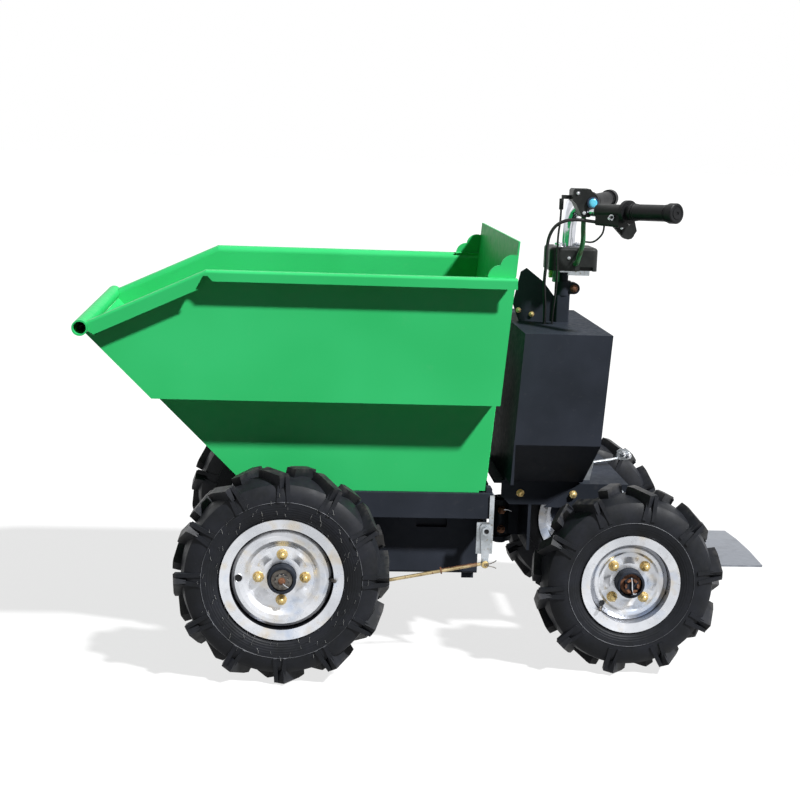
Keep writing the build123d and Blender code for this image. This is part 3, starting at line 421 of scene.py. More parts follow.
def all_finishes():
    """Material for every slot of the record; each axle's wheels have their own, centred on them."""
    made = {
        "green_paint": green_paint(),
        "dark_paint": dark_paint(),
        "zinc_plate": metal("zinc_plate", (150, 156, 160), (196, 202, 208), 0.36, 0.8, spots=(128, 112, 84)),
        "chrome_bar": chrome(),
        "black_plastic": moulded("black_plastic", (30, 32, 32), (46, 48, 47), 0.45, gloss=0.16),
        "grip_rubber": moulded("grip_rubber", (20, 21, 23), (31, 32, 34), 0.42, gloss=0.16),
        "cast_housing": metal("cast_housing", (40, 41, 44), (56, 57, 60), 0.6, 0.2, 90.0),
        "cable_black": moulded("cable_black", (18, 18, 20), (30, 30, 32), 0.38, 500.0, 0.1, 0.4),
        "loom_green": loom_sheath(),
        "tread_aluminium": tread_aluminium(),
        "drawn_rod": metal("drawn_rod", (150, 132, 96), (196, 178, 138), 0.36, 0.75, 260.0, (104, 74, 52)),
        "yellow_zinc": metal("yellow_zinc", (190, 162, 100), (230, 208, 150), 0.30, 0.65, 300.0,
                             (120, 84, 50), 0.08),
        "rusty_steel": metal("rusty_steel", (96, 62, 44), (150, 104, 74), 0.62, 0.35, 420.0,
                             (74, 48, 38), 0.12),
        "dark_steel": metal("dark_steel", (70, 68, 66), (118, 114, 108), 0.45, 0.8, 500.0,
                            (98, 66, 46), 0.10),
        "bright_screw": metal("bright_screw", (186, 189, 194), (222, 224, 228), 0.18, 1.0, 200.0),
        "button_blue": moulded("button_blue", (40, 168, 208), (112, 214, 236), 0.25, 300.0, 0.05, 0.5),
        "button_ring": moulded("button_ring", (14, 38, 66), (20, 52, 86), 0.35, 500.0, 0.1, 0.5),
        # whiskers painted pale: painted glint on what is dark rubber
        "pale_whisker": moulded("pale_whisker", (168, 168, 166), (196, 196, 194), 0.4),
        "plug_green": moulded("plug_green", (30, 110, 66), (44, 140, 86), 0.45),
        "plug_yellow": moulded("plug_yellow", (196, 200, 96), (222, 224, 130), 0.45),
    }
    for end in ("front", "rear"):
        centre = wheel_centre(end)
        middle = (centre.x, 0.0, centre.z)
        rim_low, rim_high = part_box(f"{end}_left_rim")
        tyre_low, tyre_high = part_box(f"{end}_left_tyre")
        made[f"{end}_tyre_rubber"] = tyre_rubber(f"{end}_tyre_rubber", middle, mould_ring[end],
                                                 (rim_high.z - rim_low.z) / 2,
                                                 (tyre_high.z - tyre_low.z) / 2)
        made[f"{end}_rim_silver"] = rim_silver(f"{end}_rim_silver", middle, disc_joint[end],
                                               lobe_radius[end], lobe_turn[end])
    return made


own_finish = {"brake_rod": "drawn_rod"}          # nodes that differ from their slot


def paint_frame(finishes):
    for name, node in nodes.items():
        slot = SLOT_OF[name]
        own = own_finish.get(name, f"{name.split('_')[0]}_{slot}")
        finish = finishes.get(own if own in finishes else slot)
        if not node.material_slots:
            node.data.materials.append(None)
        for place in node.material_slots:
            place.material = finish


# ---------------------------------------------------------------- what repeats, grown at its seats
class Growth:
    """Geometry Nodes tree that sets one small part, with named sizes, on every seat of a mesh."""

    def __init__(self, name, **sizes):
        self.tree = bpy.data.node_groups.new(name, "GeometryNodeTree")
        sockets = self.tree.interface
        sockets.new_socket("Geometry", in_out="OUTPUT", socket_type="NodeSocketGeometry")
        sockets.new_socket("seats", in_out="INPUT", socket_type="NodeSocketGeometry")
        for size, value in sizes.items():
            socket = sockets.new_socket(size, in_out="INPUT", socket_type="NodeSocketFloat")
            socket.default_value = value
        sockets.new_socket("finish", in_out="INPUT", socket_type="NodeSocketMaterial")
        self.given = self.tree.nodes.new("NodeGroupInput").outputs
        self.end = self.tree.nodes.new("NodeGroupOutput")

    def node(self, kind, inputs, **settings):
        node = self.tree.nodes.new(kind)
        for setting, value in settings.items():
            setattr(node, setting, value)
        for socket, value in inputs.items():
            if isinstance(value, bpy.types.NodeSocket):
                self.tree.links.new(value, node.inputs[socket])
            else:
                node.inputs[socket].default_value = value
        return node.outputs[0]

    def math(self, operation, first, second=0.0):
        return self.node("ShaderNodeMath", {0: first, 1: second}, operation=operation)

    def cone(self, sides, low, high, depth):
        return self.node("GeometryNodeMeshCone", {"Vertices": sides, "Radius Bottom": low,
                                                  "Radius Top": high, "Depth": depth})

    def lifted(self, shape, height, scale=(1.0, 1.0, 1.0)):
        up = self.node("ShaderNodeCombineXYZ", {"Z": height})
        return self.node("GeometryNodeTransform", {"Geometry": shape, "Translation": up, "Scale": scale})

    def joined(self, *shapes):
        node = self.tree.nodes.new("GeometryNodeJoinGeometry")
        for shape in shapes:
            self.tree.links.new(shape, node.inputs[0])
        return node.outputs[0]

    def facing(self):
        way = self.node("GeometryNodeInputNamedAttribute", {"Name": "facing"}, data_type="FLOAT_VECTOR")
        return self.node("FunctionNodeAlignRotationToVector", {"Vector": way}, axis="Z")

    def between(self, low, high, seed):
        node = self.tree.nodes.new("FunctionNodeRandomValue")
        node.data_type = "FLOAT"
        node.inputs[2].default_value, node.inputs[3].default_value = low, high
        node.inputs["Seed"].default_value = seed
        return node.outputs[1]

    def set_on(self, points, shape, scale=(1.0, 1.0, 1.0), turn=None):
        """Puts the shape on every point, makes it real and gives it its finish."""
        turn = self.facing() if turn is None else turn
        placed = self.node("GeometryNodeInstanceOnPoints", {"Points": points, "Instance": shape,
                                                            "Rotation": turn, "Scale": scale})
        real = self.node("GeometryNodeRealizeInstances", {"Geometry": placed})
        painted = self.node("GeometryNodeSetMaterial", {"Geometry": real, "Material": self.given["finish"]})
        self.tree.links.new(painted, self.end.inputs[0])


def bolt_growth():
    """Hexagon head on a round flange, chamfered, with a rounded crown."""
    growth = Growth("bolt_heads", across=0.016, head=0.008, flange=0.0105, flange_wall=0.0016, crown=0.001)
    given = growth.given
    corner = growth.math("DIVIDE", given["across"], math.sqrt(3))
    flange = growth.cone(28, given["flange"], growth.math("MULTIPLY", given["flange"], 0.93),
                         given["flange_wall"])
    low = growth.math("MULTIPLY", given["flange_wall"], 0.9)
    flat = growth.math("MULTIPLY", given["head"], 0.8)
    body = growth.lifted(growth.cone(6, corner, corner, flat), low)
    top = growth.math("ADD", low, flat)
    narrow = growth.math("MULTIPLY", corner, 0.84)
    chamfer = growth.lifted(growth.cone(6, corner, narrow, growth.math("MULTIPLY", given["head"], 0.2)), top)
    ball = growth.node("GeometryNodeMeshUVSphere", {"Segments": 18, "Rings": 10, "Radius": 1.0})
    ball = growth.node("GeometryNodeSetShadeSmooth", {"Geometry": ball, "Shade Smooth": True})
    wide = growth.math("MULTIPLY", given["across"], 0.40)
    size = growth.node("ShaderNodeCombineXYZ", {"X": wide, "Y": wide, "Z": given["crown"]})
    crown = growth.lifted(ball, growth.math("ADD", low, given["head"]), size)
    growth.set_on(given["seats"], growth.joined(flange, body, chamfer, crown))
    return growth


def whisker_growth():
    """Thin moulding whiskers of uneven length."""
    growth = Growth("whiskers", length=0.013)
    spike = growth.cone(5, 0.00042, 0.00022, growth.given["length"])
    growth.set_on(growth.given["seats"], spike, growth.between(0.55, 1.25, 7))
    return growth


def coil_growth():
    """Round wire wound about each seat's axis, as a thread or a spring."""
    growth = Growth("coils", radius=0.004, wire=0.0006, turns=10.0, height=0.02)
    given = growth.given
    spiral = growth.node("GeometryNodeCurveSpiral", {
        "Resolution": 18, "Rotations": given["turns"], "Start Radius": given["radius"],
        "End Radius": given["radius"], "Height": given["height"]})
    ring = growth.node("GeometryNodeCurvePrimitiveCircle", {"Resolution": 7, "Radius": given["wire"]})
    wound = growth.node("GeometryNodeCurveToMesh", {"Curve": spiral, "Profile Curve": ring,
                                                    "Fill Caps": True})
    wound = growth.node("GeometryNodeSetShadeSmooth", {"Geometry": wound, "Shade Smooth": True})
    growth.set_on(given["seats"], wound)
    return growth


def weld_growth():
    """Row of overlapping weld ripples along each seam."""
    growth = Growth("weld_ripples", size=0.0028, pitch=0.0026)
    given = growth.given
    seam = growth.node("GeometryNodeMeshToCurve", {"Mesh": given["seats"]})
    even = growth.node("GeometryNodeResampleCurve", {"Curve": seam, "Length": given["pitch"]}, mode="LENGTH")
    ripple = growth.node("GeometryNodeMeshIcoSphere", {"Radius": given["size"], "Subdivisions": 2})
    ripple = growth.node("GeometryNodeSetShadeSmooth", {"Geometry": ripple, "Shade Smooth": True})
    growth.set_on(even, ripple, growth.between(0.85, 1.15, 11), (0.0, 0.0, 0.0))
    return growth


def grow(growth, name, seats, body, slot, finish, **sizes):
    """One plain mesh from a tree at its seats, riding on a body."""
    seed = bpy.data.objects.new(name + "_seats", seats)
    scene.collection.objects.link(seed)
    modifier = seed.modifiers.new("growth", "NODES")
    modifier.node_group = growth.tree
    sizes["finish"] = finishes[finish]
    for socket in growth.tree.interface.items_tree:
        if socket.in_out == "INPUT" and socket.name in sizes:
            modifier[socket.identifier] = sizes[socket.name]
    grown = seed.evaluated_get(bpy.context.evaluated_depsgraph_get())
    shape = bpy.data.meshes.new_from_object(grown)
    bpy.data.objects.remove(seed)
    return piece(name, shape, body)


def piece(name, mesh, body, finish=None):
    """Object from a finished mesh, riding on its body."""
    mesh.name = name
    made = bpy.data.objects.new(name, mesh)
    scene.collection.objects.link(made)
    if finish:
        mesh.materials.append(finishes[finish])
    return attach(made, body)


def seats(places):
    """Mesh of bare points, each with the way its part faces."""
    mesh = bpy.data.meshes.new("seats")
    mesh.from_pydata([tuple(place) for place, way in places], [], [])
    facing = mesh.attributes.new("facing", "FLOAT_VECTOR", "POINT")
    for point, (place, way) in zip(facing.data, places):
        point.vector = way
    return mesh


def seams(lines):
    """Mesh of open lines for the welds to follow."""
    mesh = bpy.data.meshes.new("seams")
    points, edges = [], []
    for line in lines:
        start = len(points)
        points += [tuple(point) for point in line]
        edges += [(start + step, start + step + 1) for step in range(len(line) - 1)]
    mesh.from_pydata(points, edges, [])
    return mesh


# Across the flats, head, flange radius, flange thickness and crown of each fastener, in metres.
bolt_parts = ("across", "head", "flange", "flange_wall", "crown")
bolt_sizes = {
    "wheel_nut": (0.0165, 0.0085, 0.0108, 0.0016, 0.0055),
    "deck_bolt": (0.0130, 0.0050, 0.0082, 0.0012, 0.0030),
    "deck_screw": (0.0080, 0.0035, 0.0052, 0.0010, 0.0008),
    "pivot_nut": (0.0140, 0.0070, 0.0088, 0.0014, 0.0022),
    "case_screw": (0.0080, 0.0032, 0.0056, 0.0010, 0.0006),
    "axle_plug": (0.0120, 0.0050, 0.0080, 0.0014, 0.0006),
    "pin_head": (0.0150, 0.0060, 0.0110, 0.0014, 0.0008),
    "shaft_screw": (0.0100, 0.0022, 0.0072, 0.0008, 0.0006),
    "clevis_bolt": (0.0120, 0.0060, 0.0074, 0.0012, 0.0030),
    "control_screw": (0.0052, 0.0022, 0.0036, 0.0006, 0.0008),
    "riser_bolt": (0.0110, 0.0050, 0.0082, 0.0012, 0.0016),
    "console_screw": (0.0050, 0.0016, 0.0034, 0.0005, 0.0008),
    "clamp_bolt": (0.0125, 0.0052, 0.0084, 0.0012, 0.0014),
    "brace_bolt": (0.0085, 0.0036, 0.0058, 0.0010, 0.0010),
}


def fasten(kind, name, places, body, slot, finish):
    """Heads of one kind of fastener at their places."""
    return grow(bolts, name, seats(places), body, slot, finish,
                **dict(zip(bolt_parts, bolt_sizes[kind])))


def on_surface(node, place, way):
    """Where a line from outside, running against the way a part is to face, meets a CAD node."""
    way = Vector(way).normalized()
    hit, spot = nodes[node].ray_cast(place + way * 0.5, -way)[:2]
    if not hit:
        raise RuntimeError(f"nothing of {node} lies behind {tuple(place)}")
    return spot


# ---------------------------------------------------------------- solids made one by one
class Shape:
    """Mesh put together from turned, extruded and bent solids, each closed."""

    def __init__(self):
        self.mesh = bmesh.new()

    def skin(self, rings):
        """Closed solid through rings of points, capped at both ends."""
        rows = [[self.mesh.verts.new(point) for point in ring] for ring in rings]
        count = len(rows[0])
        for low, high in zip(rows, rows[1:]):
            for step in range(count):
                after = (step + 1) % count
                self.mesh.faces.new((low[step], low[after], high[after], high[step]))
        self.mesh.faces.new(rows[0][::-1])
        self.mesh.faces.new(rows[-1])
        return self

    def turned(self, place, way, outline, sides=32):
        """Solid of revolution about a line, from (distance along it, radius) points."""
        way = Vector(way).normalized()
        side = way.orthogonal().normalized()
        other = way.cross(side)
        turns = [2 * math.pi * step / sides for step in range(sides)]
        return self.skin([[place + way * far + (side * math.cos(turn) + other * math.sin(turn)) * radius
                           for turn in turns] for far, radius in outline])

    def plate(self, outline, way, wall):
        """Flat sheet: an outline given a thickness."""
        step = Vector(way).normalized() * wall
        return self.skin([outline, [point + step for point in outline]])

    def rod(self, points, radius, sides=12):
        """Round wire along points, its section carried round the bends."""
        ways = [(after - before).normalized() for before, after in zip(points, points[1:])]
        ways = [ways[0]] + [(one + two).normalized() for one, two in zip(ways, ways[1:])] + [ways[-1]]
        side = ways[0].orthogonal().normalized()
        rings = []
        for point, way in zip(points, ways):
            side = (side - way * side.dot(way)).normalized()
            other = way.cross(side)
            rings.append([point + (side * math.cos(turn) + other * math.sin(turn)) * radius
                          for turn in (2 * math.pi * step / sides for step in range(sides))])
        return self.skin(rings)

    def done(self, sharp=32.0):
        """Mesh with outward normals, smooth except at edges sharper than that many degrees."""
        bmesh.ops.recalc_face_normals(self.mesh, faces=self.mesh.faces)
        mesh = bpy.data.meshes.new("shape")
        self.mesh.to_mesh(mesh)
        self.mesh.free()
        mesh.shade_smooth()
        mesh.set_sharp_from_angle(angle=math.radians(sharp))
        return mesh


# ---------------------------------------------------------------- cables
def cable(node, route, radius, finish):
    """Smooth cable on its route, standing for the plain one of the frame."""
    line = bpy.data.curves.new(node + "_line", "CURVE")
    line.dimensions = "3D"
    spline = line.splines.new("NURBS")
    spline.points.add(len(route) - 1)
    for point, place in zip(spline.points, route):
        point.co = (*at(*place), 1.0)
    spline.order_u = 3
    spline.use_endpoint_u = True
    spline.resolution_u = 12
    line.bevel_depth = radius
    line.bevel_resolution = 4
    line.use_fill_caps = True
    line.materials.append(finishes[finish])
    made = bpy.data.objects.new(node + "_sheath", line)
    scene.collection.objects.link(made)
    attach(made, "rear_chassis")
    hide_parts(node)
    return made


def make_cables():
    """From the bar's controls down to the box and the console."""
    cable("loop_cable", [(614.87, -129.9, 882.7), (604.43, -113.43, 882.7), (582.0, -113.0, 885.5),
                         (556.0, -110.0, 884.5), (535.0, -101.0, 874.0), (523.5, -91.0, 852.0),
                         (521.0, -83.0, 822.0), (523.5, -74.0, 790.0), (522.5, -65.0, 760.0),
                         (525.0, -57.0, 731.0), (529.0, -50.0, 704.0), (530.0, -48.0, 684.0),
                         (530.0, -48.0, 666.0)], 0.0034, "cable_black")
    cable("control_cable", [(547.0, -80.0, 903.0), (547.0, -80.0, 880.0), (544.0, -78.0, 852.0),
                            (545.0, -73.0, 822.0), (548.0, -66.0, 790.0), (549.5, -58.0, 758.0),
                            (549.5, -50.0, 729.0), (548.0, -44.0, 702.0), (547.0, -42.0, 684.0),
                            (547.0, -42.0, 666.0)], 0.0022, "cable_black")
    cable("thin_cable", [(624.4, -139.4, 876.6), (624.4, -139.4, 864.0), (619.0, -124.0, 851.0),
                         (614.0, -103.0, 842.0), (610.0, -80.0, 838.5), (606.0, -58.0, 838.0),
                         (602.5, -44.0, 837.0), (602.0, -36.0, 833.0), (602.0, -36.0, 824.0)],
          0.0020, "cable_black")
    cable("wire_loom", [(592.5, -88.0, 890.5), (592.5, -88.0, 866.0), (595.0, -84.0, 848.0),
                        (595.0, -76.0, 828.0), (591.0, -68.0, 808.0), (588.0, -63.0, 791.0),
                        (588.0, -46.0, 791.0)], 0.0050, "loom_green")


# ---------------------------------------------------------------- wheels
hub_face = {"front": 0.027, "rear": 0.024}       # outer face of the disc from the wheel's middle
bolt_circle = 0.08870 / 2
bolt_turn = {"front": 0.0, "rear": 45.0}
sides = {"left": -1.0, "right": 1.0}


def spoke(centre, radius, degrees, out):
    """Point beside a wheel's axis, at an angle from the rear and a distance outboard."""
    turn = math.radians(degrees)
    return centre + Vector((radius * math.cos(turn), out, radius * math.sin(turn)))


def dress_wheel(end, side):
    wheel = f"{end}_{side}"
    body = wheel + "_wheel"
    way = sides[side]
    out = Vector((0.0, way, 0.0))
    centre = Vector(joints[wheel + "_roll"]["pos_m"])
    places = [(spoke(centre, bolt_circle, bolt_turn[end] + 90 * step, way * hub_face[end]), out)
              for step in range(4)]
    fasten("wheel_nut", wheel + "_wheel_nuts", places, body, "zinc_plate", "yellow_zinc")
    low, high = (0.088, 0.101) if end == "front" else (0.067, 0.079)
    turn = 0.0 if end == "front" else 220.0
    foot = spoke(centre, low, turn, way * 0.026)
    tip = spoke(centre, high, turn, way * 0.054)
    run = tip - foot
    valve = Shape().turned(foot, run, [(0.0, 0.0060), (0.004, 0.0055), (0.008, 0.0042),
                                       (0.62 * run.length, 0.0037), (0.63 * run.length, 0.0030)])
    piece(wheel + "_valve", valve.done(), body, "grip_rubber")
    cap = Shape().turned(tip, run, [(-0.012, 0.0028), (-0.0118, 0.0034), (-0.002, 0.0034), (0.0, 0.0026),
                                    (0.001, 0.0020)], 12)
    piece(wheel + "_valve_cap", cap.done(), body, "dark_steel")
    if end == "front":
        vent(wheel, body, centre, way)
        shaft_end(wheel, body, centre, way)
        whisker_row(wheel, body, centre, way)
    else:
        castle_nut(wheel, centre, way)


def vent(wheel, body, centre, way):
    """Punched vent in the disc, with its rolled edge and a dark dish in it as painted shade inside the hole."""
    place = spoke(centre, 0.0815, 180.0, 0.0)
    out = Vector((0.0, way, 0.0))
    spot = on_surface(wheel + "_rim", place, out)
    edge = Shape().turned(spot, out, [(-0.0015, 0.0088), (0.0006, 0.0080), (0.0010, 0.0074),
                                      (0.0007, 0.0070), (-0.0015, 0.0068)])
    piece(wheel + "_vent_edge", edge.done(), body, "front_rim_silver")
    # dark dish set in the vent: painted shade standing for the inside of the hole
    hole = Shape().turned(spot, out, [(-0.0012, 0.0071), (0.0008, 0.0070), (0.00085, 0.0060),
                                      (0.0003, 0.0030), (0.0001, 0.0005)])
    piece(wheel + "_vent_shade", hole.done(), body, "grip_rubber")


def shaft_end(wheel, body, centre, way):
    """Splined end of the half-shaft with its washer, screw and pin."""
    out = Vector((0.0, way, 0.0))
    rings = []
    for far in (0.0520, 0.0545, 0.0550):
        ring = []
        for step in range(40):
            radius = (0.0136, 0.0136, 0.0117, 0.0117)[step % 4] - (0.0006 if far > 0.0548 else 0.0)
            ring.append(spoke(centre, radius, 9.0 * step, way * far))
        rings.append(ring)
    splines = Shape().skin(rings)
    splines.turned(centre + out * 0.0445, out, [(0.0, 0.0205), (0.0022, 0.0205), (0.0026, 0.0198),
                                                (0.0028, 0.0150)])
    piece(wheel + "_splines", splines.done(20.0), body, "dark_steel")
    fasten("shaft_screw", wheel + "_shaft_screw", [(centre + out * 0.0548, out)], body, "zinc_plate",
           "rusty_steel")
    pin = Shape().rod([spoke(centre, 0.004, -60.0, way * 0.0585), spoke(centre, 0.012, -50.0, way * 0.0565),
                       spoke(centre, 0.018, -45.0, way * 0.0535)], 0.0010)
    piece(wheel + "_shaft_pin", pin.done(), body, "bright_screw")


def whisker_row(wheel, body, centre, way):
    """Moulding whiskers on the sidewall, all hanging the same way, painted pale as a painted glint on dark rubber.
    """
    places = []
    for row, (radius, count) in enumerate(((0.124, 26), (0.134, 22), (0.146, 24), (0.160, 12))):
        for step in range(count):
            turn = 360.0 * (step + 0.31 * row) / count + 5.0 * math.sin(2.3 * step + row)
            place = spoke(centre, radius + 0.004 * math.sin(3.7 * step + 1.9 * row), turn, 0.0)
            spot = on_surface(wheel + "_tyre", place, (0.0, way, 0.0))
            lean = 0.25 * math.sin(1.7 * step + row)
            places.append((spot, Vector((lean, way * 0.62, 1.0)).normalized()))
    # the whiskers' pale finish is a painted glint
    grow(whiskers, wheel + "_whiskers", seats(places), body, "tyre_rubber", "pale_whisker", length=0.0125)


def castle_nut(wheel, centre, way):
    """Rusty castellated nut with its bent pin, on the fixed stub of the rear beam."""
    out = Vector((0.0, way, 0.0))
    crown = Shape()
    for step in range(6):
        turn = 60.0 * step
        outline = [spoke(centre, radius, turn + degrees, way * 0.0535)
                   for radius, degrees in ((0.0102, -17.0), (0.0138, -20.0), (0.0144, 0.0), (0.0138, 20.0),
                                           (0.0102, 17.0))]
        crown.plate(outline, out, 0.0048)
    crown.turned(centre + out * 0.0405, out, [(0.0, 0.0212), (0.0018, 0.0212), (0.0024, 0.0204),
                                              (0.0026, 0.0150)])
    piece(wheel + "_castle_nut", crown.done(), "rear_chassis", "rusty_steel")
    pin = Shape().rod([spoke(centre, 0.0165, 96.0, way * 0.0560), spoke(centre, 0.006, 90.0, way * 0.0572),
                       spoke(centre, 0.006, -82.0, way * 0.0572), spoke(centre, 0.0175, -76.0, way * 0.0550),
                       spoke(centre, 0.0200, -60.0, way * 0.0525)], 0.0013)
    piece(wheel + "_castle_pin", pin.done(), "rear_chassis", "bright_screw")


# ---------------------------------------------------------------- frame, skip and linkage
def seat_on(node, x, y, z, way):
    """Seat and facing of a bolt on a CAD node, from a point near it in millimetres."""
    return on_surface(node, at(x, y, z), way), Vector(way)


def dress_frame():
    left, right = (0, -1, 0), (0, 1, 0)
    places = [seat_on("rear_frame", 485, way[1] * 130, 326, way) for way in (left, right)]
    places += [seat_on("rear_deck", 590, way[1] * 152, 330, way) for way in (left, right)]
    fasten("deck_bolt", "deck_bolts", places, "rear_chassis", "zinc_plate", "yellow_zinc")
    places = [seat_on("rear_deck", 600, way[1] * 152, 312, way) for way in (left, right)]
    places += [seat_on("rear_deck", 690, way[1] * 152, 336, way) for way in (left, right)]
    fasten("deck_screw", "deck_screws", places, "rear_chassis", "zinc_plate", "zinc_plate")
    places = [seat_on("rear_frame", 465, way[1] * 30, z, way) for way in (left, right) for z in (262, 220)]
    fasten("pivot_nut", "pivot_nuts", places, "rear_chassis", "zinc_plate", "rusty_steel")
    spot, way = places[0]
    pin = Shape().rod([spot + Vector((0.002, -0.0085, 0.003)), spot + Vector((0.012, -0.0095, 0.003)),
                       spot + Vector((0.020, -0.0085, 0.000))], 0.0009)
    piece("pivot_nut_pin", pin.done(), "rear_chassis", "bright_screw")
    places = [seat_on("battery_case", x, way[1] * 180, 284, way) for way in (left, right)
              for x in (150, 236, 366)]
    fasten("case_screw", "case_screws", places, "front_chassis", "dark_paint", "dark_paint")
    places = [seat_on("front_axle", x, 0, 0, (0, 0, -1)) for x in (-22, 22)]
    fasten("axle_plug", "axle_plugs", places, "front_chassis", "cast_housing", "dark_steel")
    places = [(at(-62, way * 211, 326), Vector((0, way, 0))) for way in (-1, 1)]
    fasten("pin_head", "hinge_pin_heads", places, "front_chassis", "zinc_plate", "yellow_zinc")


def dress_linkage():
    """Bored nut with a dark disc in its hole as painted shade, clevis pin and threaded end of the brake linkage.
    """
    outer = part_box("brake_bracket")[0].y
    face = Vector((0, -1, 0))
    # dark disc just inside the nut's face: painted shade standing for its hole
    bore = Shape().turned(Vector((at(403, 0, 0).x, outer + 0.0012, 0.273)), face,
                          [(0.0, 0.0052), (0.0004, 0.0050), (0.0005, 0.0036), (0.0001, 0.0030),
                           (0.0001, 0.0008)])
    piece("bracket_nut_shade", bore.done(), "front_chassis", "grip_rubber")
    spot = on_surface("brake_bracket", at(403, -240, 205.5), face)
    pin = Shape().turned(spot, face, [(0.0, 0.0072), (0.0008, 0.0074), (0.0022, 0.0070), (0.0030, 0.0056),
                                      (0.0034, 0.0020)])
    piece("clevis_pin", pin.done(), "front_chassis", "yellow_zinc")
    wires = Shape()
    for rise in (0.0060, -0.0040):
        wires.rod([spot + Vector((-0.002, -0.0040, rise / 3)), spot + Vector((0.009, -0.0045, rise / 2)),
                   spot + Vector((0.017, -0.0035, rise)),
                   spot + Vector((0.022, -0.0030, rise * 1.6))], 0.0010)
    piece("clevis_wires", wires.done(), "front_chassis", "dark_steel")
    end = Vector((at(391, 0, 0).x, spot.y + 0.004, 0.2050))
    start = Vector((at(6, 0, 0).x, -0.2390, 0.1335))
    run = (end - start).normalized()
    grow(coils, "brake_rod_thread", seats([(end - run * 0.075, run)]), "front_chassis", "zinc_plate",
         "rusty_steel", radius=0.0036, wire=0.0006, turns=48.0, height=0.072)
    collar = Shape().turned(end - run * 0.078, run, [(0.0, 0.0040), (0.0002, 0.0070), (0.0026, 0.0072),
                                                    (0.0030, 0.0040)])
    piece("brake_rod_collar", collar.done(), "front_chassis", "rusty_steel")


def dress_deck_lever():
    """Small plated lever with its clevis and bolts on the rear of the deck."""
    left = Vector((0, -1, 0))
    arm = Shape().plate([at(628, 20, 353), at(628, 27, 353), at(742, 50, 367), at(742, 43, 367)], (0, 0, 1),
                        0.0035)
    arm.rod([at(640, 22, 356.5), at(700, 34, 363.5), at(738, 40, 371)], 0.0022)
    piece("deck_lever", arm.done(), "rear_chassis", "zinc_plate")
    clevis = Shape()
    for y in (36, 54):
        clevis.plate([at(722, y, 364), at(722, y, 379), at(728, y, 384), at(744, y, 384), at(748, y, 378),
                      at(748, y, 370), at(742, y, 364)], (0, 1, 0), 0.003)
    clevis.plate([at(722, 37, 364), at(742, 37, 364), at(742, 56, 364), at(722, 56, 364)], (0, 0, 1), 0.003)
    piece("deck_clevis", clevis.done(), "rear_chassis", "zinc_plate")
    places = [(at(732, 36, 377), left), (at(743, 36, 374), left)]
    fasten("clevis_bolt", "deck_clevis_bolts", places, "rear_chassis", "zinc_plate", "bright_screw")


def dress_skip():
    """Weld ripples where the gussets, the lip tube and the rear wall meet the skip's sides."""
    lines = []
    for way in (-1, 1):
        lines.append([at(-372, way * 287, 664), at(-366, way * 287, 657), at(-360, way * 283, 652)])
        lines.append([at(376, way * 271.5, 781.6), at(400, way * 271.5, 781.6), at(426, way * 271.5, 781.6)])
        lines.append([at(401.7, way * 209, 372), at(413.0, way * 209, 525)])
    grow(welds, "skip_welds", seams(lines), "skip", "green_paint", "green_paint", size=0.0022, pitch=0.0024)


# ---------------------------------------------------------------- controls
def bar_side(way):
    """End of a half of the bar and its direction outwards."""
    end = at(725, way * 298, 913)
    return end, (end - at(602, way * 104, 903)).normalized()


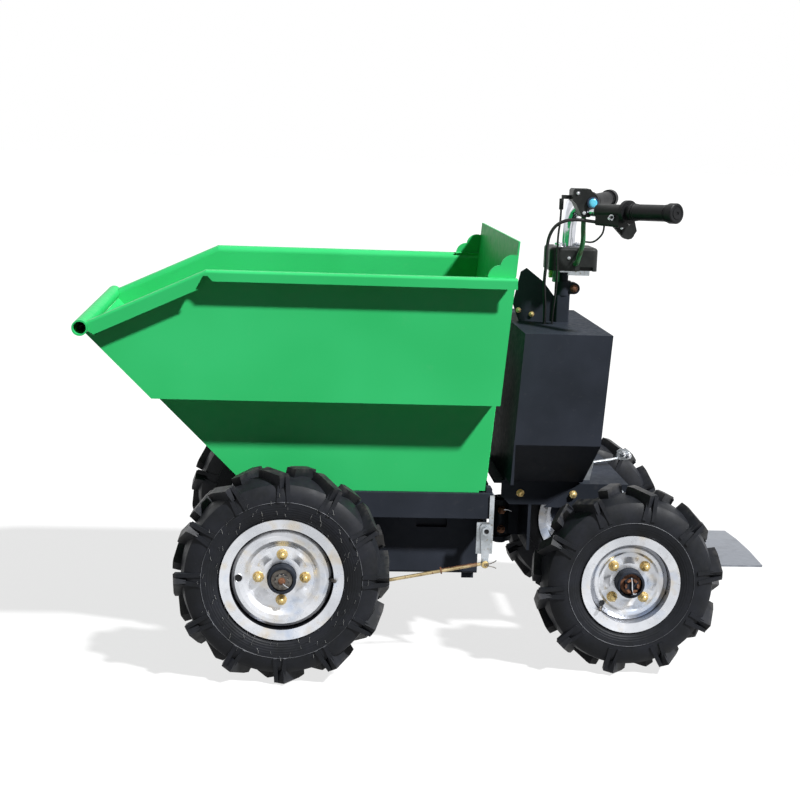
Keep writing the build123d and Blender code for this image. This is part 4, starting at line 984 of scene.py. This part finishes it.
def dress_controls():
    for name, way in sides.items():
        end, out = bar_side(way)
        cap = Shape().turned(end + out * 0.004, out, [(-0.004, 0.0192), (0.0006, 0.0190), (0.0020, 0.0172),
                                                     (0.0021, 0.0140), (0.0012, 0.0134), (0.0012, 0.0110),
                                                     (0.0024, 0.0104), (0.0025, 0.0040), (0.0008, 0.0034),
                                                     (0.0008, 0.0006)])
        piece(f"grip_{name}_cap", cap.done(), "rear_chassis", "grip_rubber")
        rings = Shape()
        for far, radius in ((0.014, 0.0172), (0.019, 0.0168), (0.100, 0.0168), (0.106, 0.0174)):
            rings.turned(end - out * far, out, [(-0.0016, 0.0158), (-0.0010, radius), (0.0010, radius),
                                               (0.0016, 0.0158)])
        piece(f"grip_{name}_ribs", rings.done(), "rear_chassis", "grip_rubber")
    face = Vector((0, -1, 0))
    spot = on_surface("switch_housing", at(605, -112, 919.5), face)
    ring = Shape().turned(spot, face, [(-0.002, 0.0118), (0.0006, 0.0116), (0.0014, 0.0108), (0.0014, 0.0092),
                                       (0.0008, 0.0088)])
    piece("button_bezel", ring.done(), "rear_chassis", "button_ring")
    dome = Shape().turned(spot, face, [(0.0, 0.0088), (0.0012, 0.0086), (0.0022, 0.0074), (0.0027, 0.0050),
                                       (0.0028, 0.0012)])
    piece("button", dome.done(), "rear_chassis", "button_blue")
    places = [seat_on("switch_housing", x, -112, z, face) for x, z in ((575, 938), (589, 899))]
    places += [seat_on("brake_lever", x, -180, z, face) for x, z in ((628, 893), (655, 875))]
    fasten("control_screw", "control_screws", places, "rear_chassis", "zinc_plate", "bright_screw")
    up = (0, 0, 1)
    places = [seat_on("console", x, y, 840, up) for x in (561, 601) for y in (-15, 15)]
    fasten("riser_bolt", "riser_bolts", places, "rear_chassis", "chrome_bar", "bright_screw")
    spot, way = seat_on("console", 575, -60, 803, face)
    fasten("console_screw", "console_screw", [(spot, way)], "rear_chassis", "zinc_plate",
           "bright_screw")
    places = [seat_on("steering_column", 595, way[1] * 30, 737, way) for way in (face, (0, 1, 0))]
    fasten("clamp_bolt", "clamp_bolt", places, "rear_chassis", "zinc_plate", "rusty_steel")
    places = [seat_on("column_brace", x, -20, z, face) for x, z in ((482, 688), (510, 680))]
    fasten("brace_bolt", "brace_bolts", places, "rear_chassis", "zinc_plate", "yellow_zinc")
    spring_axis = Vector((-0.30, -0.90, 0.30)).normalized()
    grow(coils, "lever_spring", seats([(at(631, -176, 894), spring_axis)]), "rear_chassis", "zinc_plate",
         "bright_screw", radius=0.0044, wire=0.0007, turns=5.0, height=0.009)


def dress_plugs():
    """Wire plugs under the front of the console."""
    for name, x, y, wide, deep, tall in (("green", 552.0, -30.0, 13.0, 16.0, 24.0),
                                        ("yellow", 545.0, -12.0, 9.0, 11.0, 17.0)):
        plug = Shape()
        for low, high, more in ((0.0, 0.30, 0.0), (0.30, 0.36, -0.9), (0.36, 0.68, 0.0), (0.68, 0.74, -0.9),
                                (0.74, 1.0, -0.4)):
            half_x, half_y = wide / 2 + more, deep / 2 + more
            corners = [(-half_x, -half_y), (half_x, -half_y), (half_x, half_y), (-half_x, half_y)]
            plug.skin([[at(x + px, y + py, 776.0 - tall * share) for px, py in corners]
                       for share in (low, high)])
        piece(f"plug_{name}", plug.done(), "rear_chassis", f"plug_{name}")


make_camera()
finishes = all_finishes()
make_cables()
make_light()
make_floor()
paint_frame(finishes)
bolts, whiskers, coils, welds = bolt_growth(), whisker_growth(), coil_growth(), weld_growth()
for end in ("front", "rear"):
    for side in sides:
        dress_wheel(end, side)
dress_frame()
dress_linkage()
dress_deck_lever()
dress_skip()
dress_controls()
dress_plugs()
